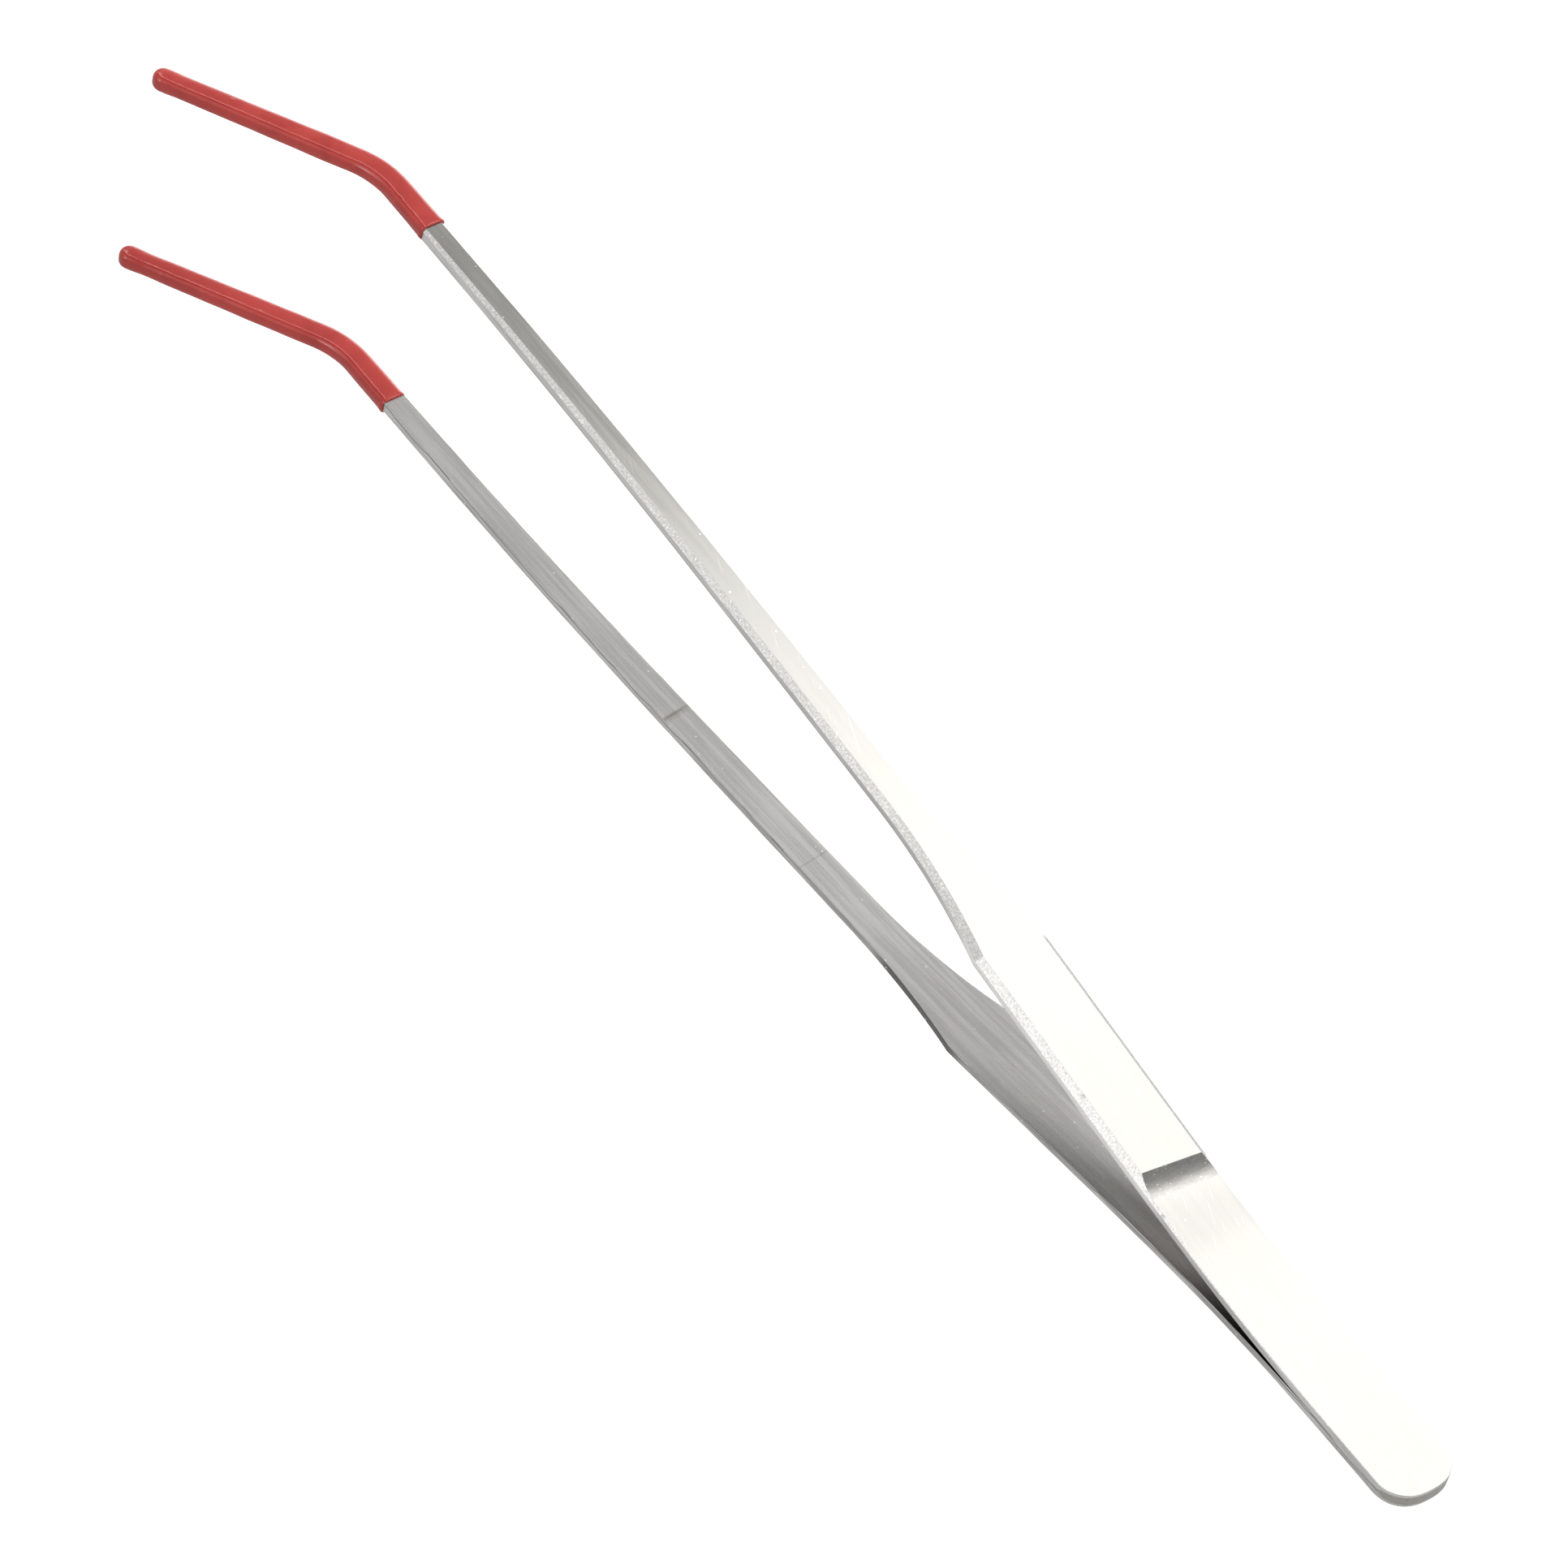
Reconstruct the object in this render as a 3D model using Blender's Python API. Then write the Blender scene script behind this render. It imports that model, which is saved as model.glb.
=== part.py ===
"""Aquascaping tweezers: two stainless spring leaves, welded together at the butt, with dipped tips.

Each leaf is made flat, as the real one is: the blank is cut out with its edgewise bend at the tip,
milled thinner near the butt so that it springs, and bevelled along its outer edges. It is then bowed
lengthwise and laid against its mirror image. Each leaf is divided at the middle of its spring, where
the arm turns on the butt.

Frame: metres, +Z up. The tweezers lie on the lower edges of their leaves. +X runs to the tips, which
curve up, and the left leaf is on +Y. The origin is the centre of the bounding box, at its base.
"""

import functools
import math

import bmesh
import bpy
from mathutils import Vector

# Lengths along a leaf, each from the end of the one before.
LAP_LENGTH = 0.0124
SPRING_LENGTH = 0.0432
HANDLE_LENGTH = 0.0379
FLARE_LENGTH = 0.0274
ARM_LENGTH = 0.1203
TIP_LENGTH = 0.0343

# Widths of the leaf.
HANDLE_WIDTH = 0.0113
ARM_WIDTH = 0.0056
TIP_WIDTH = 0.0026

# Section of the leaf.
STOCK_THICKNESS = 0.0020
SPRING_THICKNESS = 0.0012
EDGE_BEVEL = 0.0009
MILL_RADIUS = 0.0079

# The edgewise bend between arm and tip.
BEND_ANGLE = math.radians(32.0)
BEND_RADIUS = 0.0203

# The bow, as arcs end to end: a length of the leaf, the share of it that the arc takes, and the
# leaf's slope at the end of the arc, in degrees.
BOW_ARCS = (
    (LAP_LENGTH, 1.00, 0.0),
    (SPRING_LENGTH, 0.35, 2.2),
    (SPRING_LENGTH, 0.38, 6.9),
    (SPRING_LENGTH, 0.27, 7.9),
    (HANDLE_LENGTH, 0.35, 8.5),
    (HANDLE_LENGTH, 0.65, 8.1),
    (FLARE_LENGTH, 1.00, 4.5),
    (ARM_LENGTH, 0.37, 3.8),
    (ARM_LENGTH, 0.46, 0.6),
    (ARM_LENGTH, 0.17, 0.4),
    (TIP_LENGTH, 1.00, 0.0),
)

# The dipped coating.
COATING_LENGTH = 0.0469
COATING_WALL = 0.00035
COATING_ROUND = 0.0008

# The weld round the butt's end.
WELD_BEAD_RADIUS = 0.00035
WELD_DEPTH = 0.00045
WELD_SWEEP = math.radians(150.0)

# Space between solids that touch on the real tweezers.
TOUCH_GAP = 0.0003

# Fineness of the solids.
ROUND_STEPS = 14
FLARE_STEPS = 8
BEND_STEPS = 8
BOW_STEPS = 5
BEVEL_STEPS = 1
COATING_STEPS = 3
ROD_RESOLUTION = 2

# How far a cutter or a core reaches past what it cuts or joins.
OVERSHOOT = 0.002

# Tolerances: the same point, the same height, the same direction, and a stretch that is straight.
SAME_POINT = 1e-7
SAME_PLACE = 1e-5
SAME_DIRECTION = math.radians(0.5)
STRAIGHT = 1e-6

# Edges sharper than these are bevelled, and shaded as edges.
BEVELLED_ANGLE = math.radians(60)
SHARP_ANGLE = math.radians(25)

SPRING_END = LAP_LENGTH + SPRING_LENGTH
HANDLE_END = SPRING_END + HANDLE_LENGTH
FLARE_END = HANDLE_END + FLARE_LENGTH
ARM_END = FLARE_END + ARM_LENGTH
LEAF_END = ARM_END + TIP_LENGTH
BEND_HALF = BEND_RADIUS * BEND_ANGLE / 2
BEND_START = ARM_END - BEND_HALF
BEND_END = ARM_END + BEND_HALF
COATING_START = LEAF_END + COATING_WALL - COATING_LENGTH
HINGE_STATION = LAP_LENGTH + SPRING_LENGTH / 2

# Each arc of the bow: its length, and the slope at its end.
BOW = [(length * share, math.radians(degrees)) for length, share, degrees in BOW_ARCS]


def clear_scene():
    for obj in list(bpy.data.objects):
        bpy.data.objects.remove(obj, do_unlink=True)


def new_collection(name):
    collection = bpy.data.collections.new(name)
    bpy.context.scene.collection.children.link(collection)
    return collection


def new_material(name, colour, roughness, metallic):
    material = bpy.data.materials.new(name)
    material.use_nodes = True
    shader = material.node_tree.nodes["Principled BSDF"]
    shader.inputs["Base Color"].default_value = (*colour, 1.0)
    shader.inputs["Roughness"].default_value = roughness
    shader.inputs["Metallic"].default_value = metallic
    return material


# ---------------------------------------------------------------- outline of the flat blank


def half_width(station):
    """Half of the leaf's width: parallel handle, concave flare, tapering arm."""
    if station <= HANDLE_END:
        return HANDLE_WIDTH / 2
    arm = ARM_WIDTH / 2
    if station <= FLARE_END:
        drop = (HANDLE_WIDTH - ARM_WIDTH) / 2
        radius = (FLARE_LENGTH**2 + drop**2) / (2 * drop)
        return arm + radius - math.sqrt(radius**2 - (FLARE_END - station) ** 2)
    share = (station - FLARE_END) / (LEAF_END - FLARE_END)
    return arm + share * (TIP_WIDTH / 2 - arm)


def centre_line(station):
    """The centre line's point in the flat blank, and its direction as an angle."""
    if station <= BEND_START:
        return Vector((station, 0.0)), 0.0
    turned = min((station - BEND_START) / BEND_RADIUS, BEND_ANGLE)
    point = Vector((BEND_START + BEND_RADIUS * math.sin(turned), BEND_RADIUS * (1 - math.cos(turned))))
    beyond = max(station - BEND_END, 0.0)
    return point + beyond * Vector((math.cos(turned), math.sin(turned))), turned


def side_point(station, side, grow=0.0):
    """A point on one edge of the blank. side is +1 on the inside of the tip's bend, -1 outside."""
    point, angle = centre_line(station)
    across = Vector((-math.sin(angle), math.cos(angle)))
    return point + side * (half_width(station) + grow) * across


def spread(start, end, count):
    return [start + (end - start) * step / count for step in range(count + 1)]


def stations_between(start, end):
    """The stations that the outline needs from start to end."""
    wanted = {start, end, HANDLE_END}
    wanted.update(spread(HANDLE_END, FLARE_END, FLARE_STEPS))
    wanted.update(spread(BEND_START, BEND_END, BEND_STEPS))
    return [station for station in sorted(wanted) if start <= station <= end]


def butt_outline():
    """Points of the round butt end, from one edge of the blank to the other."""
    radius = HANDLE_WIDTH / 2
    points = []
    for angle in spread(math.pi / 2, math.pi * 3 / 2, ROUND_STEPS)[1:-1]:
        points.append(Vector((radius + radius * math.cos(angle), radius * math.sin(angle))))
    return points


def tip_outline(grow):
    """Points of the round tip, from the outside of the bend to the inside."""
    end, angle = centre_line(LEAF_END - TIP_WIDTH / 2)
    radius = half_width(LEAF_END - TIP_WIDTH / 2) + grow
    points = []
    for turn in spread(-math.pi / 2, math.pi / 2, ROUND_STEPS)[1:-1]:
        points.append(end + radius * Vector((math.cos(angle + turn), math.sin(angle + turn))))
    return points


def blank_outline(start, end, grow=0.0):
    """Closed outline of the blank between two stations, with every edge moved out by grow."""
    stations = stations_between(start, end)
    points = [side_point(station, -1, grow) for station in stations]
    if end > ARM_END:
        points += tip_outline(grow)
    points += [side_point(station, 1, grow) for station in reversed(stations)]
    if start < LAP_LENGTH:
        points += butt_outline()
    return points


# ---------------------------------------------------------------- flat solids


def evaluated_mesh(obj):
    graph = bpy.context.evaluated_depsgraph_get()
    mesh = bpy.data.meshes.new_from_object(obj.evaluated_get(graph))
    solid = bmesh.new()
    solid.from_mesh(mesh)
    bmesh.ops.remove_doubles(solid, verts=solid.verts, dist=SAME_POINT)
    bmesh.ops.recalc_face_normals(solid, faces=solid.faces)
    solid.to_mesh(mesh)
    solid.free()
    return mesh


def mesh_from_curve(obj):
    """Replace a curve object with the mesh it makes."""
    mesh = evaluated_mesh(obj)
    result = bpy.data.objects.new(obj.name + "_solid", mesh)
    result.matrix_world = obj.matrix_world
    bpy.data.objects.remove(obj, do_unlink=True)
    return result


def plate(name, outline, bottom, top, collection):
    """A flat outline cut from plate, between two heights."""
    curve = bpy.data.curves.new(name, "CURVE")
    curve.dimensions = "2D"
    curve.fill_mode = "BOTH"
    curve.extrude = (top - bottom) / 2
    spline = curve.splines.new("POLY")
    spline.points.add(len(outline) - 1)
    for target, point in zip(spline.points, outline):
        target.co = (point.x, point.y, 0.0, 1.0)
    spline.use_cyclic_u = True
    obj = bpy.data.objects.new(name, curve)
    obj.location.z = (bottom + top) / 2
    collection.objects.link(obj)
    bpy.context.view_layer.update()
    solid = mesh_from_curve(obj)
    collection.objects.link(solid)
    solid.data.transform(solid.matrix_world)
    solid.matrix_world.identity()
    return solid


def combine(obj, other, operation):
    """Cut obj with other, or join it on, and keep the result in obj. other is used up."""
    modifier = obj.modifiers.new(operation.lower(), "BOOLEAN")
    modifier.operation = operation
    modifier.solver = "EXACT"
    modifier.object = other
    bpy.context.view_layer.update()
    mesh = evaluated_mesh(obj)
    obj.modifiers.clear()
    obj.data = mesh
    bpy.data.objects.remove(other, do_unlink=True)


def recess_cutter(collection):
    """The milled recess over the spring: a slab whose end rises with the cutter's radius."""
    depth = STOCK_THICKNESS - SPRING_THICKNESS
    run_out = math.sqrt(2 * MILL_RADIUS * depth - depth**2)
    sweep = math.asin(run_out / MILL_RADIUS)
    profile = [Vector((-OVERSHOOT, SPRING_THICKNESS))]
    for angle in spread(0.0, sweep, ROUND_STEPS):
        along = SPRING_END - run_out + MILL_RADIUS * math.sin(angle)
        profile.append(Vector((along, SPRING_THICKNESS + MILL_RADIUS * (1 - math.cos(angle)))))
    profile.append(Vector((SPRING_END, STOCK_THICKNESS + OVERSHOOT)))
    profile.append(Vector((-OVERSHOOT, STOCK_THICKNESS + OVERSHOOT)))
    reach = HANDLE_WIDTH / 2 + OVERSHOOT
    cutter = plate("recess", profile, -reach, reach, collection)
    for vertex in cutter.data.vertices:
        vertex.co = (vertex.co.x, -vertex.co.z, vertex.co.y)
    return cutter


def weld_path(beyond):
    """The weld's centre line in the flat, just inside the round butt end, longer by beyond at each end."""
    radius = HANDLE_WIDTH / 2
    inside = radius - WELD_DEPTH
    half_sweep = WELD_SWEEP / 2 + beyond / inside
    points = []
    for angle in spread(math.pi - half_sweep, math.pi + half_sweep, ROUND_STEPS):
        points.append(Vector((radius + inside * math.cos(angle), inside * math.sin(angle))))
    return points


def weld_rod(name, radius, beyond, collection):
    """A round bar along the weld's path, lying in the flat at height 0."""
    curve = bpy.data.curves.new(name, "CURVE")
    curve.dimensions = "3D"
    curve.bevel_depth = radius
    curve.bevel_resolution = ROD_RESOLUTION
    curve.use_fill_caps = True
    path = weld_path(beyond)
    spline = curve.splines.new("POLY")
    spline.points.add(len(path) - 1)
    for target, point in zip(spline.points, path):
        target.co = (point.x, point.y, 0.0, 1.0)
    obj = bpy.data.objects.new(name, curve)
    collection.objects.link(obj)
    bpy.context.view_layer.update()
    return obj


def bevel_edges(obj, width, segments, wanted=lambda point: True):
    """Bevel the sharp edges of obj whose two ends both pass the test."""
    solid = bmesh.new()
    solid.from_mesh(obj.data)
    bmesh.ops.dissolve_limit(
        solid, angle_limit=SAME_DIRECTION, verts=solid.verts, edges=solid.edges
    )
    edges = []
    for edge in solid.edges:
        sharp = edge.calc_face_angle(0.0) > BEVELLED_ANGLE
        if sharp and all(wanted(vertex.co) for vertex in edge.verts):
            edges.append(edge)
    bmesh.ops.bevel(
        solid, geom=edges, offset=width, segments=segments, profile=0.5, affect="EDGES"
    )
    solid.to_mesh(obj.data)
    solid.free()


def cut_across(mesh, stations):
    """Add an edge loop across the flat solid at each distance, so that it can be bowed there."""
    solid = bmesh.new()
    solid.from_mesh(mesh)
    for station in stations:
        bmesh.ops.bisect_plane(
            solid,
            geom=solid.verts[:] + solid.edges[:] + solid.faces[:],
            plane_co=(station, 0.0, 0.0),
            plane_no=(1.0, 0.0, 0.0),
            dist=SAME_POINT,
        )
    bmesh.ops.triangulate(solid, faces=solid.faces)
    solid.to_mesh(mesh)
    solid.free()


def keep_part(mesh, station, beyond):
    """A copy of the flat solid on one side of a plane across it, closed with a flat face."""
    solid = bmesh.new()
    solid.from_mesh(mesh)
    cut = bmesh.ops.bisect_plane(
        solid,
        geom=solid.verts[:] + solid.edges[:] + solid.faces[:],
        plane_co=(station, 0.0, 0.0),
        plane_no=(1.0, 0.0, 0.0),
        dist=SAME_POINT,
        clear_inner=beyond,
        clear_outer=not beyond,
    )
    rim = [item for item in cut["geom_cut"] if isinstance(item, bmesh.types.BMEdge)]
    bmesh.ops.contextual_create(solid, geom=rim)
    bmesh.ops.recalc_face_normals(solid, faces=solid.faces)
    part = bpy.data.meshes.new(mesh.name)
    solid.to_mesh(part)
    solid.free()
    return part


# ---------------------------------------------------------------- the bow


@functools.cache
def bow_at(station):
    """Where a distance along the flat leaf lies once bowed: (along, out, slope). Arcs, end to end."""
    along = 0.0
    out = 0.0
    slope = 0.0
    left = station
    for length, end_slope in BOW:
        stretch = min(max(left, 0.0), length)
        turned = (end_slope - slope) * stretch / length
        if abs(turned) < STRAIGHT:
            along += stretch * math.cos(slope)
            out += stretch * math.sin(slope)
        else:
            radius = stretch / turned
            along += radius * (math.sin(slope + turned) - math.sin(slope))
            out += radius * (math.cos(slope) - math.cos(slope + turned))
        left -= stretch
        slope += turned
        if left <= 0.0:
            break
    return along + min(station, 0.0) + max(left, 0.0), out, slope


def bow_stations():
    """The distances at which the leaf needs an edge loop to bow smoothly."""
    wanted = []
    start = 0.0
    for length, _ in BOW:
        wanted += spread(start, start + length, BOW_STEPS)
        start += length
    return sorted({round(station, 6) for station in wanted if station > 0.0})


TIP_CENTRE, TIP_ANGLE = centre_line(LEAF_END - TIP_WIDTH / 2)
TIP_REACH = half_width(LEAF_END - TIP_WIDTH / 2) + COATING_WALL
TOTAL_LENGTH = bow_at(TIP_CENTRE.x + TIP_REACH)[0]


def to_world(flat, side):
    """From the flat leaf's (along, across, out) to the world, on the left (+1) or the right (-1)."""
    along, out, slope = bow_at(flat.x)
    along -= math.sin(slope) * flat.z
    out += math.cos(slope) * flat.z
    return Vector((along - TOTAL_LENGTH / 2, side * (TOUCH_GAP / 2 + out), HANDLE_WIDTH / 2 + flat.y))


def hinge_point(side):
    """On the middle of the spring's thickness and width, half way along it."""
    return to_world(Vector((HINGE_STATION, 0.0, SPRING_THICKNESS / 2)), side)


# ---------------------------------------------------------------- finished pieces


def place(name, flat_mesh, side, material, collection, pivot=None):
    """Bow a flat solid, lay it on its side of the tweezers and hang it on its pivot, if it has one."""
    mesh = flat_mesh.copy()
    mesh.name = name
    origin = pivot.location if pivot else Vector()
    for vertex in mesh.vertices:
        vertex.co = to_world(vertex.co, side) - origin
    if side > 0:
        mesh.flip_normals()
    mesh.shade_smooth()
    mesh.set_sharp_from_angle(angle=SHARP_ANGLE)
    mesh.materials.clear()
    mesh.materials.append(material)
    obj = bpy.data.objects.new(name, mesh)
    obj.parent = pivot
    collection.objects.link(obj)
    return obj


def flat_leaf(cutters):
    """One whole leaf in the flat."""
    rim = COATING_START - TOUCH_GAP
    leaf = plate("leaf_blank", blank_outline(0.0, rim), 0.0, STOCK_THICKNESS, cutters)
    combine(leaf, recess_cutter(cutters), "DIFFERENCE")
    rim_along = centre_line(rim)[0].x

    def on_outer_edge(point):
        beyond_step = SPRING_END - SAME_PLACE < point.x < rim_along + SAME_PLACE
        return beyond_step and point.z > STOCK_THICKNESS - SAME_PLACE

    bevel_edges(leaf, EDGE_BEVEL, BEVEL_STEPS, on_outer_edge)
    core_outline = blank_outline(rim - OVERSHOOT, LEAF_END - TIP_WIDTH / 2, -TOUCH_GAP)
    core = plate("leaf_core", core_outline, TOUCH_GAP, STOCK_THICKNESS - TOUCH_GAP, cutters)
    combine(leaf, core, "UNION")
    groove = weld_rod("weld_groove", WELD_BEAD_RADIUS + TOUCH_GAP, TOUCH_GAP, cutters)
    groove.location.z = -TOUCH_GAP / 2
    bpy.context.view_layer.update()
    groove_solid = mesh_from_curve(groove)
    cutters.objects.link(groove_solid)
    combine(leaf, groove_solid, "DIFFERENCE")
    cut_across(leaf.data, bow_stations())
    return leaf


def flat_coating(cutters):
    """One dipped coating in the flat: a thin skin with a round end, open where the leaf goes in."""
    end = LEAF_END - TIP_WIDTH / 2
    outer = plate(
        "coating_blank",
        blank_outline(COATING_START, end, COATING_WALL),
        -COATING_WALL,
        STOCK_THICKNESS + COATING_WALL,
        cutters,
    )
    bevel_edges(outer, COATING_ROUND, COATING_STEPS)
    cavity_outline = blank_outline(COATING_START - OVERSHOOT, end, 0.0)
    cavity = plate("coating_cavity", cavity_outline, 0.0, STOCK_THICKNESS, cutters)
    combine(outer, cavity, "DIFFERENCE")
    return outer


def build():
    clear_scene()
    tweezers = new_collection("aquascaping_tweezers")
    cutters = new_collection("cutters")
    steel = new_material("brushed_steel", (0.66, 0.65, 0.62), 0.32, 1.0)
    vinyl = new_material("red_vinyl", (0.47, 0.05, 0.045), 0.25, 0.0)
    weld = new_material("ground_weld", (0.50, 0.47, 0.42), 0.40, 1.0)

    leaf = flat_leaf(cutters)
    butt_mesh = keep_part(leaf.data, HINGE_STATION - TOUCH_GAP / 2, beyond=False)
    arm_mesh = keep_part(leaf.data, HINGE_STATION + TOUCH_GAP / 2, beyond=True)
    coating = flat_coating(cutters)

    for side, word in ((1, "left"), (-1, "right")):
        pivot = bpy.data.objects.new(word + "_spring_axis", None)
        pivot.location = hinge_point(side)
        tweezers.objects.link(pivot)
        place(word + "_leaf_butt", butt_mesh, side, steel, tweezers)
        place(word + "_leaf_arm", arm_mesh, side, steel, tweezers, pivot)
        place(word + "_tip_coating", coating.data, side, vinyl, tweezers, pivot)

    bead = weld_rod("butt_weld", WELD_BEAD_RADIUS, 0.0, tweezers)
    bead.location = (-TOTAL_LENGTH / 2, 0.0, HANDLE_WIDTH / 2)
    bead.rotation_euler = (math.pi / 2, 0.0, 0.0)
    bead.data.materials.append(weld)

    bpy.data.objects.remove(leaf, do_unlink=True)
    bpy.data.objects.remove(coating, do_unlink=True)


build()
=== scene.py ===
"""Aquascaping tweezers, finished: two bevelled spring leaves, their weld, and the dipped tips.

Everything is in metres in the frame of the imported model: +X runs from the butt to the tips, the left
leaf is on +Y, and the tweezers lie on the lower edges of their leaves, with the tips curving up.
"""

import functools
import math

import bmesh
import bpy
from mathutils import Matrix, Vector, noise


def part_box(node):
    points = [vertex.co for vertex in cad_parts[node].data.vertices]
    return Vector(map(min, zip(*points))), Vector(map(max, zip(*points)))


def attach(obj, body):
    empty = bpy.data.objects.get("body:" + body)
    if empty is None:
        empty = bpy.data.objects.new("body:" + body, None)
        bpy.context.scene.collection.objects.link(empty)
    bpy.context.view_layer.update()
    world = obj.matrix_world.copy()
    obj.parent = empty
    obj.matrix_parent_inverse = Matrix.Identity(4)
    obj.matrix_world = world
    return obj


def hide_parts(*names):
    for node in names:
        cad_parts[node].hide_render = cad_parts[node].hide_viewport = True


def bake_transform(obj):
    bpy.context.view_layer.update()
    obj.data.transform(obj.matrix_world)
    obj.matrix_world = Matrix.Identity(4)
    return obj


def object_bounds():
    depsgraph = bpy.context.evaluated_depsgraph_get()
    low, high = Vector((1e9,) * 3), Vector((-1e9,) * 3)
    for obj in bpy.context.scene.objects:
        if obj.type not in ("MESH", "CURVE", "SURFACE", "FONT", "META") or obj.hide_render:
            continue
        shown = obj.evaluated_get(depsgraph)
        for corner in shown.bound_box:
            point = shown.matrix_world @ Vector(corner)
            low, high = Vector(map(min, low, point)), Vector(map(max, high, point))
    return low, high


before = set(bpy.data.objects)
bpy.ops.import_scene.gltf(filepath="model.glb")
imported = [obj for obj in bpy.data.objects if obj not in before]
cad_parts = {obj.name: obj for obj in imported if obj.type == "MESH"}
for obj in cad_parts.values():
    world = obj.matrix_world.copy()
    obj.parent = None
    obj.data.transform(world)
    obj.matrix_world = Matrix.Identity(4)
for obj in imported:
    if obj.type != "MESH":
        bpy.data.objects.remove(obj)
cad_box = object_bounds()

# ---------------------------------------------------------------- the leaves
# Each leaf is one strip of 2 mm spring stainless, laser cut with its edgewise bend at the tip, milled
# thinner behind the handle so that it springs, ground along its outer edges to a bevel that is left
# with a blasted grain, satin brushed lengthwise, and then bowed. The two leaves are mirror images.

LAP_LENGTH = 0.0124
SPRING_LENGTH = 0.0432
HANDLE_LENGTH = 0.0379
FLARE_LENGTH = 0.0274
ARM_LENGTH = 0.1203
TIP_LENGTH = 0.0343
HANDLE_WIDTH = 0.0113
ARM_WIDTH = 0.0056
TIP_WIDTH = 0.0026
STOCK_THICKNESS = 0.0020
SPRING_THICKNESS = 0.0012
BEND_ANGLE = math.radians(32.0)
BEND_RADIUS = 0.0135

SPRING_END = LAP_LENGTH + SPRING_LENGTH
HANDLE_END = SPRING_END + HANDLE_LENGTH
FLARE_END = HANDLE_END + FLARE_LENGTH
ARM_END = FLARE_END + ARM_LENGTH
LEAF_END = ARM_END + TIP_LENGTH
BEND_START = ARM_END - BEND_RADIUS * BEND_ANGLE / 2
BEND_END = ARM_END + BEND_RADIUS * BEND_ANGLE / 2
TIP_ROUND = TIP_WIDTH / 2
TIP_CENTRE = LEAF_END - TIP_ROUND

# Where the vinyl starts, and how far the steel steps in underneath it.
COATING_LENGTH = 0.0469
COATING_WALL = 0.00035
COATING_START = LEAF_END + COATING_WALL - COATING_LENGTH
CORE_SETBACK = 0.0015
CORE_STEP = 0.0003
CORE_START = COATING_START + CORE_SETBACK
CORE_INSET = 0.00010

# The bow, as arcs end to end: a length of the leaf, the share of it that the arc takes, and the
# leaf's slope at the end of the arc, in degrees.
BOW_ARCS = (
    (LAP_LENGTH, 1.00, 0.0),
    (SPRING_LENGTH, 0.35, 2.2),
    (SPRING_LENGTH, 0.38, 6.9),
    (SPRING_LENGTH, 0.27, 7.9),
    (HANDLE_LENGTH, 0.35, 8.5),
    (HANDLE_LENGTH, 0.65, 8.1),
    (FLARE_LENGTH, 1.00, 4.5),
    (ARM_LENGTH, 0.37, 3.8),
    (ARM_LENGTH, 0.46, 0.6),
    (ARM_LENGTH, 0.17, 0.4),
    (TIP_LENGTH, 1.00, 0.0),
)

# The bevel's width at distances along the leaf: it narrows towards the tip. It is ground by hand, so its
# width wavers, and here and there it has a nick.
BEVEL_WIDTHS = (
    (0.0, 0.00086), (SPRING_END, 0.00098), (HANDLE_END, 0.00098), (FLARE_END, 0.00090), (0.175, 0.00076),
    (COATING_START, 0.00048),
)
BEVEL_WAVER = 0.00004
WAVERS_PER_METRE = 170
NICKS_PER_METRE = 900
NICK_RARITY = 0.45
NICK_DEPTH = 3
BEVEL_CROWN = 0.03
EDGE_BREAK = 0.00009
SEAM = 0.00004

BUTT_X = cad_box[0].x
MIDDLE_Z = HANDLE_WIDTH / 2
HALF_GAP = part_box("left_leaf_butt")[0].y

# The butt's end: flatter than half a circle, and a little squarer at its lower corner.
BUTT_END_START = 0.00405
BUTT_END_REACH = 0.0051
BUTT_END_POWER = {-1: 2.6, 1: 2.3}

# The mill's shallow taper ahead of the run-out, and how far its step leans at each edge.
TAPER_LENGTH = 0.0090
TAPER_RISE = 0.00018
RUN_OUT = 0.0037
STEP_LEAN = {-1: -0.0001, 1: 0.0010}
STEP_LEAN_FULL = 0.0045
STEP_LEAN_GONE = 0.012

# How closely the ribs stand along the leaf, the points on each part of a rib, and how far the sides'
# grain lies from the faces' grain on the map.
RIB_PITCH = 0.0007
FINE_PITCH = 0.00016
ROUND_RIBS = 40
BREAK_POINTS = 3
BEVEL_POINTS = 5
FACE_POINTS = 8
SIDE_MAP_SHIFT = 0.020


def spread(start, end, count):
    return [start + (end - start) * step / count for step in range(count + 1)]


def along_table(table, station):
    """Straight lines through (station, value) pairs."""
    for (start, first), (end, last) in zip(table, table[1:]):
        if station <= end:
            return first + (last - first) * max(station - start, 0.0) / (end - start)
    return table[-1][1]


def fade(value, start, end):
    """0 before start, 1 after end, smooth between."""
    share = min(max((value - start) / (end - start), 0.0), 1.0)
    return share * share * (3 - 2 * share)


def half_width(station):
    """Half of the leaf's width: parallel handle, concave flare, tapering arm."""
    if station <= HANDLE_END:
        return HANDLE_WIDTH / 2
    arm = ARM_WIDTH / 2
    if station <= FLARE_END:
        drop = (HANDLE_WIDTH - ARM_WIDTH) / 2
        radius = (FLARE_LENGTH**2 + drop**2) / (2 * drop)
        return arm + radius - math.sqrt(radius**2 - (FLARE_END - station) ** 2)
    share = (station - FLARE_END) / (LEAF_END - FLARE_END)
    return arm + share * (TIP_WIDTH / 2 - arm)


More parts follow.
